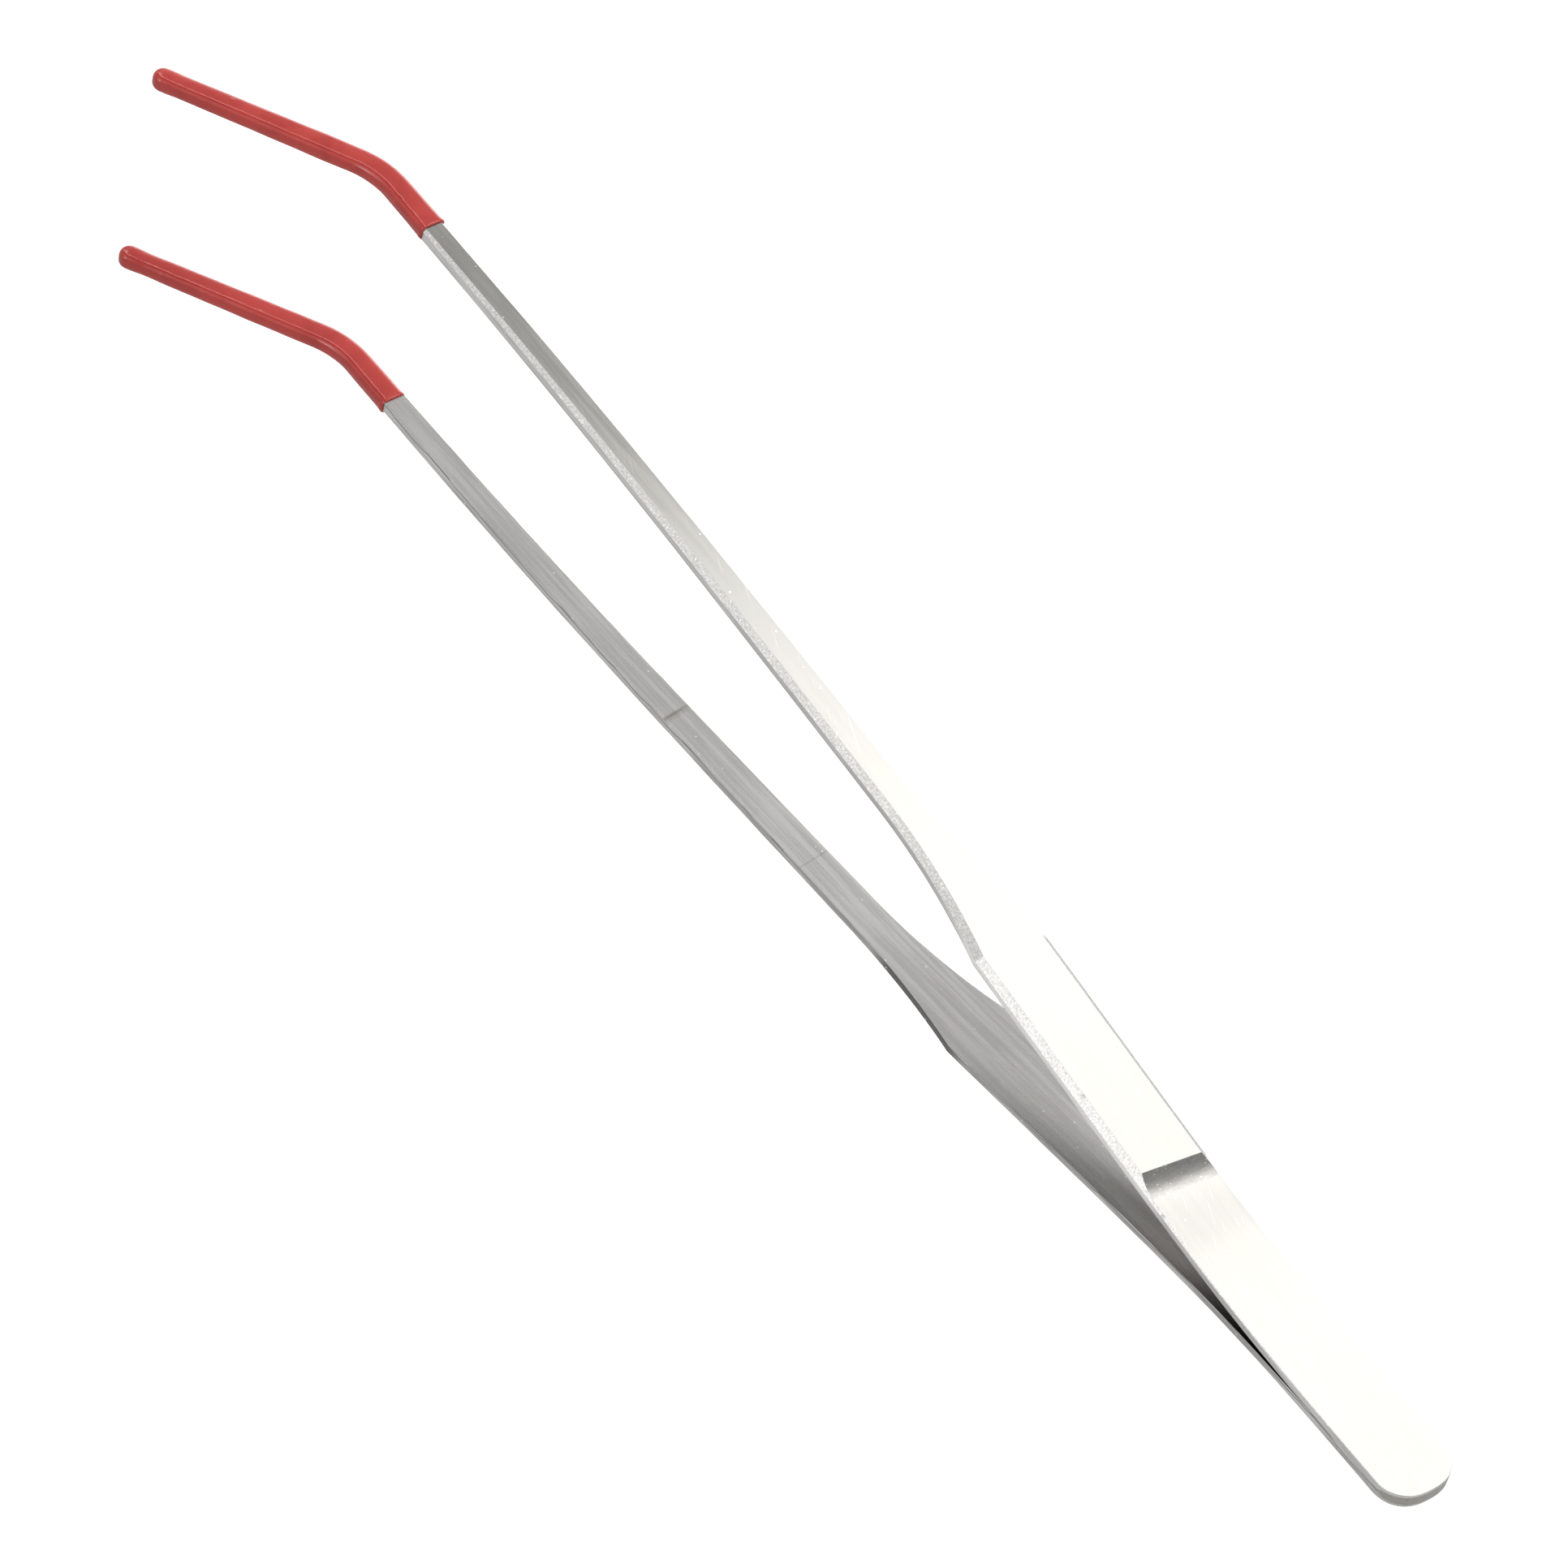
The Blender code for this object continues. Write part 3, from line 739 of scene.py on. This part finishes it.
def milled_run_out():
    """The cutter's run-out: dull, with the cutter's marks across it and a few glints."""
    material, tree, shader = new_finish("milled_run_out", 1.0, 0.30)
    place = grain_place(tree)
    across = add(tree, "ShaderNodeMapping", [("vector_type", "POINT")], Vector=place, Scale=(2.2, 0.5, 1.0))
    cuts = add(tree, "ShaderNodeTexNoise", Vector=across.outputs[0], Scale=1.0, Detail=3.0)
    grit = add(tree, "ShaderNodeTexNoise", Vector=place, Scale=5.0, Detail=2.0)
    shade = math_of(tree, "MULTIPLY", cuts.outputs["Fac"], grit.outputs["Fac"])
    colour = mix_colour(tree, remap(tree, shade, 0.12, 0.4), (0.36, 0.35, 0.335), (0.455, 0.445, 0.425))
    glints = use(tree, FLECKS, Place=place, Size=0.34, Share=0.10, Seed=5.0)["Mask"]
    colour = mix_colour(tree, glints, colour, (1.0, 1.0, 0.98))
    tree.links.new(colour, shader.inputs["Base Color"])
    raise_surface(tree, shader, grit.outputs["Fac"], 0.000005)
    return material


FINISHES = ["outer_face", "inner_face", "bevel", "side", "run_out"]
OUTER_FACE = satin_face(
    "satin_outer_face", (0.355, 0.347, 0.328), (0.405, 0.396, 0.375), 0.23, 1.0, ((0.35, 7.0),),
    arcs=((22.9, 1.5, 0.42, 4.5), (1.0, 8.0, 0.45, 16.0)),
)
# The inner faces darken towards the butt: painted shade between the leaves.
INNER_FACE = satin_face(
    "satin_inner_face", (0.450, 0.441, 0.427), (0.552, 0.543, 0.527), 0.27, 8.0, ((0.5, 7.0), (-0.9, 5.0)),
    cross_marks=((161.7, 0.22, 0.55), (161.3, 0.55, 0.25), (130.3, 0.10, 0.35)), gap_shade=0.85,
)
BEVEL = blasted_bevel()
RUN_OUT_CUT = milled_run_out()
# Each side's patch is painted: dark as painted shade at the end of the left leaf's flare, light as painted
# light on the right leaf's handle.
SIDES = {
    1: cut_side(
        "left_ground_side", (0.36, 0.355, 0.345), (0.72, 0.715, 0.70), 0.85,
        (HANDLE_END * 1000 + 0.6, FLARE_END * 1000 - 12.0, 5.0), (0.15, 0.145, 0.14),
    ),
    -1: cut_side(
        "right_ground_side", (0.52, 0.515, 0.505), (0.74, 0.735, 0.72), 0.25,
        (SPRING_END * 1000 - 2.0, HANDLE_END * 1000 + 2.0, 6.0), (0.93, 0.92, 0.90),
    ),
}

leaf_ribs = butt_ribs(ROUND_RIBS)
leaf_ribs += [rib(station) for station in leaf_stations()]
leaf_ribs += reversed(tip_ribs(ROUND_RIBS // 2))
leaf_rings = [leaf_section(station, ends) for station, ends in leaf_ribs]
for word, side in (("left", 1), ("right", -1)):
    leaf = loft(word + "_leaf", leaf_rings, side, FINISHES)
    for steel in (OUTER_FACE, INNER_FACE, BEVEL, SIDES[side], RUN_OUT_CUT):
        leaf.data.materials.append(steel)
    spring_root = bowed(Vector((LAP_LENGTH, 0.0, 0.0)), side)
    spring_tip = bowed(Vector((SPRING_END - RUN_OUT, 0.0, 0.0)), side)
    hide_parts(word + "_leaf_butt", word + "_leaf_arm")
    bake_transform(leaf)

# ---------------------------------------------------------------- the weld
# The leaves are welded together round the butt's end, and the bead is ground flush with the edges of
# the leaves. It keeps a faint warm heat tint, a few pits, and a grain that runs round the end.

WELD_SWEEP = math.radians(168.0)
WELD_HALF_WIDTH = 0.00117
WELD_PROUD = 0.00002
WELD_SUNK = 0.00005
WELD_DEPTH = 0.00045
WELD_WAVER = 0.05
WELD_RIPPLE = 0.000008
WELD_STATIONS = 150
WELD_POINTS = 10

# Pits in the ground bead: angle round the end, place across the bead, radius and depth.
WELD_PITS = (
    (math.radians(-6.0), 0.00016, 0.00020, 0.00010),
    (math.radians(-1.5), 0.00010, 0.00016, 0.00008),
    (math.radians(4.0), 0.00018, 0.00022, 0.00011),
    (math.radians(27.0), -0.00012, 0.00015, 0.00007),
    (math.radians(-31.0), 0.00005, 0.00018, 0.00008),
)


def weld_ring(angle):
    """The bead's section at a turn round the butt's end, as points in place."""
    edge = 1 if angle > 0 else -1
    foot, out = butt_end(abs(angle), edge)
    taper = math.sqrt(max(1 - (2 * angle / WELD_SWEEP) ** 4, 0.0))
    narrowed = WELD_WAVER * abs(noise.noise(Vector((angle * 9, 0.0, 0.0))))
    reach = WELD_HALF_WIDTH * taper * (1 - narrowed)
    points = []
    for share in spread(-1.0, 1.0, WELD_POINTS):
        crown = WELD_PROUD * taper - (WELD_PROUD + WELD_SUNK) * share**4
        ripple = WELD_RIPPLE * noise.noise(Vector((angle * 30, share * 2.0, 1.0)))
        outside = crown + ripple
        for pit_angle, pit_across, pit_radius, pit_depth in WELD_PITS:
            pit, _ = butt_end(abs(pit_angle), 1 if pit_angle > 0 else -1)
            away = math.hypot((foot - pit).length, share * reach - pit_across)
            outside -= pit_depth * (1 - fade(away, 0.0, pit_radius))
        points.append((share * reach, outside))
    for share in spread(1.0, -1.0, WELD_POINTS // 2):
        points.append((share * reach, -WELD_DEPTH * taper - WELD_SUNK))
    ring = []
    for across, outside in points:
        at = foot + outside * out
        ring.append(Vector((BUTT_X + at.x, across, MIDDLE_Z + at.y)))
    return ring


def place_in_mm(tree):
    """The place in space, in millimetres, for pieces that aren't brushed along the leaf."""
    place = add(tree, "ShaderNodeTexCoord").outputs["Object"]
    return add(tree, "ShaderNodeVectorMath", [("operation", "SCALE")], Vector=place, Scale=1000.0).outputs[0]


def heat_tinted_weld():
    material, tree, shader = new_finish("ground_weld", 1.0, 0.33)
    in_mm = place_in_mm(tree)
    cloud = use(tree, CLOUDING, Place=in_mm, Size=1.6, Seed=4.0)["Cloud"]
    streak = add(tree, "ShaderNodeMapping", [("vector_type", "POINT")], Vector=in_mm, Scale=(0.6, 5.0, 0.6))
    grain = add(tree, "ShaderNodeTexNoise", Vector=streak.outputs[0], Scale=1.4, Detail=3.0)
    lines = remap(tree, grain.outputs["Fac"], 0.3, 0.7)
    colour = mix_colour(tree, lines, (0.35, 0.34, 0.32), (0.46, 0.45, 0.43))
    colour = mix_colour(tree, remap(tree, cloud, 0.42, 0.62, 0.0, 0.6), colour, (0.40, 0.37, 0.32))
    soot = use(tree, FLECKS, Place=in_mm, Size=0.45, Share=0.10, Seed=6.0)["Mask"]
    colour = mix_colour(tree, soot, colour, (0.14, 0.12, 0.10))
    tree.links.new(colour, shader.inputs["Base Color"])
    raise_surface(tree, shader, grain.outputs["Fac"], 0.00001)
    return material


def tube_through(name, rings):
    """A closed mesh through rings of points in place, with a flat face at each end."""
    solid = bmesh.new()
    rows = [[solid.verts.new(point) for point in ring] for ring in rings]
    count = len(rings[0])
    for row, following in zip(rows, rows[1:]):
        for k in range(count):
            after = (k + 1) % count
            solid.faces.new((row[k], row[after], following[after], following[k])).smooth = True
    solid.faces.new(rows[0])
    solid.faces.new(reversed(rows[-1]))
    bmesh.ops.recalc_face_normals(solid, faces=solid.faces)
    return new_piece(name, solid)


# The rings stop just short of the sweep's ends, where they would shrink to a line.
weld_reach = WELD_SWEEP * 0.495
weld_angles = spread(-weld_reach, weld_reach, WELD_STATIONS)
weld = tube_through("ground_butt_weld", [weld_ring(angle) for angle in weld_angles])
weld.data.materials.append(heat_tinted_weld())
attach(weld, "butt")
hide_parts("butt_weld")

# ---------------------------------------------------------------- the dipped tips
# Each tip is dipped in soft red vinyl, which cures to a glossy skin: thin, rounded over the edges of
# the steel, with a lip where the dip line was, a bead at the very end, slow waves and small pimples.

COATING_ROUND = 0.00105
RIM_ROUND_TOP = 0.00068
RIM_ROUND_BOTTOM = 0.00010
CAVITY_GROW = -0.00006
LIP_HEIGHT = 0.00004
LIP_LENGTH = 0.0005
END_BEAD = 0.00010
END_BEAD_LENGTH = 0.0042
RIM_ROUND = 0.00100
FACE_CROWN = 0.00007
SLOW_WAVE = 0.00004
WAVES_PER_METRE = 190
RIM_SWELL = 0.0012
CORNER_POINTS = 6
COATING_PITCH = 0.00028
CAVITY_RIBS = 60
RIM_RIBS = 8

# Pimples on the skin: distance from the dip line, place across the leaf, and which face (0 inner).
PIMPLES = ((0.0118, -0.0004, 0), (0.0246, 0.0006, 0), (0.0352, -0.0003, 1), (0.0062, 0.0009, 1))
PIMPLE_RADIUS = 0.00032
PIMPLE_HEIGHT = 0.00009


def skin_edge(grow, thicker, round_bottom, round_top):
    """Half a section of the skin, from the inner face to the outer: (distance out of the edge, height)."""
    points = []
    low = -grow - thicker
    for turn in spread(0.0, math.pi / 2, CORNER_POINTS):
        lift = round_bottom * (1 - math.cos(turn))
        points.append((grow - round_bottom * (1 - math.sin(turn)), low + lift))
    top = STOCK_THICKNESS + grow + thicker
    points.append((grow, (points[-1][1] + top - round_top) / 2))
    for turn in spread(math.pi / 2, 0.0, CORNER_POINTS):
        points.append((grow - round_top * (1 - math.sin(turn)), top - round_top * (1 - math.cos(turn))))
    return points


def skin_section(station, ends, grow, round_bottom, round_top, crown=0.0, thicker=0.0):
    """One closed ring of the skin, in the shape that loft takes."""
    section = skin_edge(grow, thicker, round_bottom, round_top)
    halves = [[point + normal * out for out, _ in section] for point, normal in ends]
    heights = [height for _, height in section]
    lower, upper = halves
    ring = [Vector((at.x, at.y, height)) for at, height in zip(lower, heights)]
    for share in spread(0.0, 1.0, FACE_POINTS)[1:-1]:
        at = lower[-1].lerp(upper[-1], share)
        ring.append(Vector((at.x, at.y, heights[-1] + crown * 4 * share * (1 - share))))
    ring += [Vector((at.x, at.y, height)) for at, height in zip(reversed(upper), reversed(heights))]
    for share in spread(0.0, 1.0, FACE_POINTS)[1:-1]:
        at = upper[0].lerp(lower[0], share)
        ring.append(Vector((at.x, at.y, heights[0] - crown * 4 * share * (1 - share))))
    return [(at, "vinyl", at.xy) for at in ring]


def skin_growth(station, side):
    """How far the skin stands off the steel at a station: its wall, the lip and the slow waves."""
    from_rim = station - COATING_START
    lip = LIP_HEIGHT * math.exp(-((from_rim - LIP_LENGTH / 2) / LIP_LENGTH) ** 2)
    wave = SLOW_WAVE * noise.noise(Vector((station * WAVES_PER_METRE, side * 4.0, 2.0)))
    return COATING_WALL + lip + wave - CORE_INSET / 2


def raise_pimples(obj, side):
    """Push small round bumps out of the skin."""
    mesh = obj.data
    for from_rim, across, face in PIMPLES:
        station = COATING_START + from_rim
        centre, angle = centre_line(station)
        at = centre + across * Vector((-math.sin(angle), math.cos(angle)))
        height = STOCK_THICKNESS + COATING_WALL if face else -COATING_WALL
        spot = bowed(Vector((at.x, at.y, height)), side)
        for vertex in mesh.vertices:
            away = (vertex.co - spot).length
            if away < PIMPLE_RADIUS and vertex.normal.y * side * (1 if face else -1) > 0.5:
                vertex.co += vertex.normal * PIMPLE_HEIGHT * (1 - fade(away, 0.0, PIMPLE_RADIUS))


def skin_rings(side):
    """Rings from the closed end of the cavity, back to the rim, round it, and out to the tip."""
    cavity = [rib(station) for station in spread(COATING_START, TIP_CENTRE, CAVITY_RIBS)]
    cavity += reversed(tip_ribs(ROUND_RIBS // 2))
    rings = []
    for station, ends in reversed(cavity):
        rings.append(skin_section(station, ends, CAVITY_GROW, RIM_ROUND_BOTTOM, RIM_ROUND_TOP))
    wall = skin_growth(COATING_START, side) - CAVITY_GROW
    for turn in spread(0.0, math.pi, RIM_RIBS)[1:-1]:
        share = (1 - math.cos(turn)) / 2
        station = COATING_START + wall / 2 * (1 - math.sin(turn))
        low = RIM_ROUND_BOTTOM + (RIM_ROUND - RIM_ROUND_BOTTOM) * share
        high = RIM_ROUND_TOP + (RIM_ROUND - RIM_ROUND_TOP) * share
        rings.append(skin_section(*rib(station), CAVITY_GROW + wall * share, low, high))
    start = COATING_START + wall / 2
    count = round((TIP_CENTRE - start) / COATING_PITCH)
    outer = [rib(station) for station in spread(start, TIP_CENTRE, count)]
    outer += reversed(tip_ribs(ROUND_RIBS))
    for station, ends in outer:
        swell = fade(station, COATING_START, COATING_START + RIM_SWELL)
        corner = RIM_ROUND + (COATING_ROUND - RIM_ROUND) * swell
        bead = END_BEAD * fade(station, LEAF_END - END_BEAD_LENGTH, LEAF_END - END_BEAD_LENGTH / 2)
        grow = skin_growth(station, side)
        rings.append(skin_section(station, ends, grow, corner, corner, FACE_CROWN * swell, bead))
    return rings


def dipped_vinyl():
    material, tree, shader = new_finish("dipped_red_vinyl", 0.0, 0.16)
    shader.inputs["IOR"].default_value = 1.52
    in_mm = place_in_mm(tree)
    cloud = use(tree, CLOUDING, Place=in_mm, Size=5.0, Seed=9.0)["Cloud"]
    colour = mix_colour(tree, remap(tree, cloud, 0.35, 0.65), (0.33, 0.025, 0.020), (0.39, 0.033, 0.026))
    # Painted shade: towards grazing angles the colour turns dark purple, standing in for the dark
    # surroundings that the skin's edges reflect.
    rim = tree.nodes.new("ShaderNodeLayerWeight")
    rim.inputs["Blend"].default_value = 0.22
    colour = mix_colour(tree, remap(tree, rim.outputs["Facing"], 0.45, 1.0), colour, (0.10, 0.012, 0.022))
    tree.links.new(colour, shader.inputs["Base Color"])
    orange_peel = add(tree, "ShaderNodeTexNoise", Vector=in_mm, Scale=1.1, Detail=2.0)
    tree.links.new(remap(tree, cloud, 0.3, 0.7, 0.09, 0.15), shader.inputs["Roughness"])
    raise_surface(tree, shader, orange_peel.outputs["Fac"], 0.00005, 0.5)
    return material


vinyl = dipped_vinyl()
for word, side in (("left", 1), ("right", -1)):
    coating = loft(word + "_dipped_tip", skin_rings(side), side, ["vinyl"])
    raise_pimples(coating, side)
    coating.data.materials.append(vinyl)
    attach(coating, word + "_arm")
    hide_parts(word + "_tip_coating")

# ---------------------------------------------------------------- the light table
# A pale table, lit from beneath so that it is white and takes only faint shadows. The steel doesn't
# reflect it: what the steel reflects is the soft box and the grey room, which come next.

TABLE_SIDE = 12.0
TABLE_Z = cad_box[0].z - 0.0002
TABLE_GREY = (0.80, 0.80, 0.80, 1.0)
TABLE_GLOW = 0.72


def white_table():
    material, tree, shader = new_finish("pale_table", 0.0, 0.8)
    shader.inputs["Base Color"].default_value = TABLE_GREY
    shader.inputs["Emission Color"].default_value = (1.0, 1.0, 1.0, 1.0)
    shader.inputs["Emission Strength"].default_value = TABLE_GLOW
    return material


bpy.ops.mesh.primitive_grid_add(x_subdivisions=2, y_subdivisions=2, size=TABLE_SIDE)
table = bpy.context.object
table.location.z = TABLE_Z
table.name = "light_table"
table.data.materials.append(white_table())
table.visible_glossy = False
table.visible_shadow = False

# ---------------------------------------------------------------- the soft box and the room
# One long feathered soft box stands beside the butt, so that the outer faces shine from the butt to
# the middle of the arms. The room is grey, lighter overhead, and dark behind the tweezers.

BOX_Y = -0.40
BOX_X = (-0.115, 0.213)
BOX_Z = (-0.44, -0.08)
BOX_FEATHER_X = (0.07, 0.035)
BOX_FEATHER_Z = (0.06, 0.06)
BOX_STRENGTH = 3.05


def feathered_box(name, y, reach_x, reach_z, feather_x, feather_z, strength):
    """An upright soft box that fades out at each edge by its own amount. Cameras don't see it."""
    width, height = reach_x[1] - reach_x[0], reach_z[1] - reach_z[0]
    bpy.ops.mesh.primitive_grid_add(x_subdivisions=2, y_subdivisions=2, size=1.0)
    box = bpy.context.object
    box.name = name
    box.scale = (width, height, 1.0)
    box.location = (sum(reach_x) / 2, y, sum(reach_z) / 2)
    box.rotation_euler = (math.pi / 2, 0.0, 0.0)
    material = bpy.data.materials.new(name)
    material.use_nodes = True
    tree = material.node_tree
    tree.nodes.clear()
    place = add(tree, "ShaderNodeTexCoord").outputs["Object"]
    parts = add(tree, "ShaderNodeSeparateXYZ", Vector=place)
    glow = None
    for label, side, feather in (("X", width, feather_x), ("Y", height, feather_z)):
        risen = remap(tree, parts.outputs[label], -0.5, -0.5 + feather[0] / side)
        fallen = remap(tree, parts.outputs[label], 0.5 - feather[1] / side, 0.5, 1.0, 0.0)
        share = math_of(tree, "MULTIPLY", risen, fallen)
        glow = share if glow is None else math_of(tree, "MULTIPLY", glow, share)
    lamp = add(tree, "ShaderNodeEmission", Strength=strength)
    clear = add(tree, "ShaderNodeBsdfTransparent")
    both = tree.nodes.new("ShaderNodeMixShader")
    tree.links.new(glow, both.inputs[0])
    tree.links.new(clear.outputs[0], both.inputs[1])
    tree.links.new(lamp.outputs[0], both.inputs[2])
    ending = tree.nodes.new("ShaderNodeOutputMaterial")
    tree.links.new(both.outputs[0], ending.inputs["Surface"])
    box.data.materials.append(material)
    box.visible_camera = False
    box.visible_shadow = False


feathered_box("butt_soft_box", BOX_Y, BOX_X, BOX_Z, BOX_FEATHER_X, BOX_FEATHER_Z, BOX_STRENGTH)

# The room as broad soft cards, far away: direction, angles where it is full and gone, and what it
# multiplies the room's grey by.
ROOM_GREY = 0.85
ROOM_CARDS = (
    ((0.10, -0.55, 0.83), 8.0, 30.0, 2.4),
    ((-0.04, -0.45, 0.89), 6.0, 13.0, 3.0),
    ((0.20, -0.84, -0.495), 4.0, 9.0, 2.5),
    ((-0.35, -0.80, -0.495), 12.0, 30.0, 0.5),
    ((0.43, 0.05, -0.90), 15.0, 38.0, 4.0),
    ((0.429, 0.756, -0.495), 12.0, 24.0, 0.10),
)

# Bands along the horizon ahead of the tips' inner faces: lowest and highest sine of the elevation,
# and what each multiplies the room's grey by.
ROOM_BANDS = ((-0.09, -0.02, 7.0), (0.07, 0.36, 0.35))
BAND_SOFT = 0.03
BAND_FULL_Y = -0.6
BAND_GONE_Y = -0.3


def new_room_group(name, vectors, floats):
    """A group that tells what the room's grey is multiplied by, and its two end nodes."""
    group = bpy.data.node_groups.new(name, "ShaderNodeTree")
    for label in vectors:
        group.interface.new_socket(label, in_out="INPUT", socket_type="NodeSocketVector")
    for label in floats:
        group.interface.new_socket(label, in_out="INPUT", socket_type="NodeSocketFloat")
    group.interface.new_socket("Factor", in_out="OUTPUT", socket_type="NodeSocketFloat")
    return group, group.nodes.new("NodeGroupInput"), group.nodes.new("NodeGroupOutput")


def give_factor(group, given, result, inside):
    """End the group: its factor where inside is 1, and 1 where inside is 0."""
    extra = math_of(group, "SUBTRACT", given.outputs["Factor"], 1.0)
    factor = math_of(group, "ADD", math_of(group, "MULTIPLY", inside, extra), 1.0)
    group.links.new(factor, result.inputs["Factor"])
    return group


def room_card_group():
    """A soft-edged round card in the sky."""
    group, given, result = new_room_group("room_card", ("Direction", "Toward"), ("Full", "Gone", "Factor"))
    dot = add(group, "ShaderNodeVectorMath", [("operation", "DOT_PRODUCT")])
    group.links.new(given.outputs["Direction"], dot.inputs[0])
    group.links.new(given.outputs["Toward"], dot.inputs[1])
    near = remap(group, dot.outputs["Value"], given.outputs["Gone"], given.outputs["Full"])
    return give_factor(group, given, result, near)


def room_band_group():
    """A band along the horizon on the -Y side."""
    group, given, result = new_room_group("room_band", ("Direction",), ("Low", "High", "Factor"))
    parts = add(group, "ShaderNodeSeparateXYZ", Vector=given.outputs["Direction"])
    above = math_of(group, "SUBTRACT", parts.outputs["Z"], given.outputs["Low"])
    below = math_of(group, "SUBTRACT", given.outputs["High"], parts.outputs["Z"])
    inside = remap(group, above, -BAND_SOFT, 0.0)
    inside = math_of(group, "MULTIPLY", inside, remap(group, below, -BAND_SOFT, 0.0))
    ahead = remap(group, parts.outputs["Y"], BAND_FULL_Y, BAND_GONE_Y, 1.0, 0.0)
    return give_factor(group, given, result, math_of(group, "MULTIPLY", inside, ahead))


world = bpy.data.worlds.new("grey_room")
bpy.context.scene.world = world
world.use_nodes = True
room = world.node_tree
room.nodes.clear()
direction = add(room, "ShaderNodeTexCoord").outputs["Generated"]
card_group = room_card_group()
level = ROOM_GREY
for toward, full, gone, factor in ROOM_CARDS:
    card = use(
        room, card_group, Direction=direction, Toward=Vector(toward).normalized(),
        Full=math.cos(math.radians(full)), Gone=math.cos(math.radians(gone)), Factor=factor,
    )[0]
    level = math_of(room, "MULTIPLY", level, card)
band_group = room_band_group()
for low, high, factor in ROOM_BANDS:
    band = use(room, band_group, Direction=direction, Low=low, High=high, Factor=factor)[0]
    level = math_of(room, "MULTIPLY", level, band)
seen = add(room, "ShaderNodeLightPath").outputs["Is Camera Ray"]
level = math_of(room, "ADD", math_of(room, "MULTIPLY", level, math_of(room, "SUBTRACT", 1.0, seen)), seen)
sky = add(room, "ShaderNodeBackground", Strength=level)
ending = room.nodes.new("ShaderNodeOutputWorld")
room.links.new(sky.outputs[0], ending.inputs["Surface"])

# ---------------------------------------------------------------- the camera
# It looks down over the butt along the tweezers, turned so that the tips are at the top.

TARGET = Vector((-0.00053, -0.00095, 0.01010))
AZIMUTH = math.radians(-29.611)
ELEVATION = math.radians(29.647)
ROLL = math.radians(-115.049)
DISTANCE = 1.27785
LENS = 217.587
SENSOR = 36.0

back = Vector(
    (math.sin(AZIMUTH) * math.cos(ELEVATION), -math.cos(AZIMUTH) * math.cos(ELEVATION), math.sin(ELEVATION))
)
camera = bpy.data.objects.new("camera", bpy.data.cameras.new("camera"))
camera.data.lens = LENS
camera.data.sensor_width = SENSOR
upright = back.to_track_quat("Z", "Y").to_matrix().to_4x4()
camera.matrix_world = Matrix.Translation(TARGET + back * DISTANCE) @ upright @ Matrix.Rotation(ROLL, 4, "Z")
bpy.context.scene.collection.objects.link(camera)
bpy.context.scene.camera = camera
bpy.context.scene.view_settings.view_transform = "Standard"
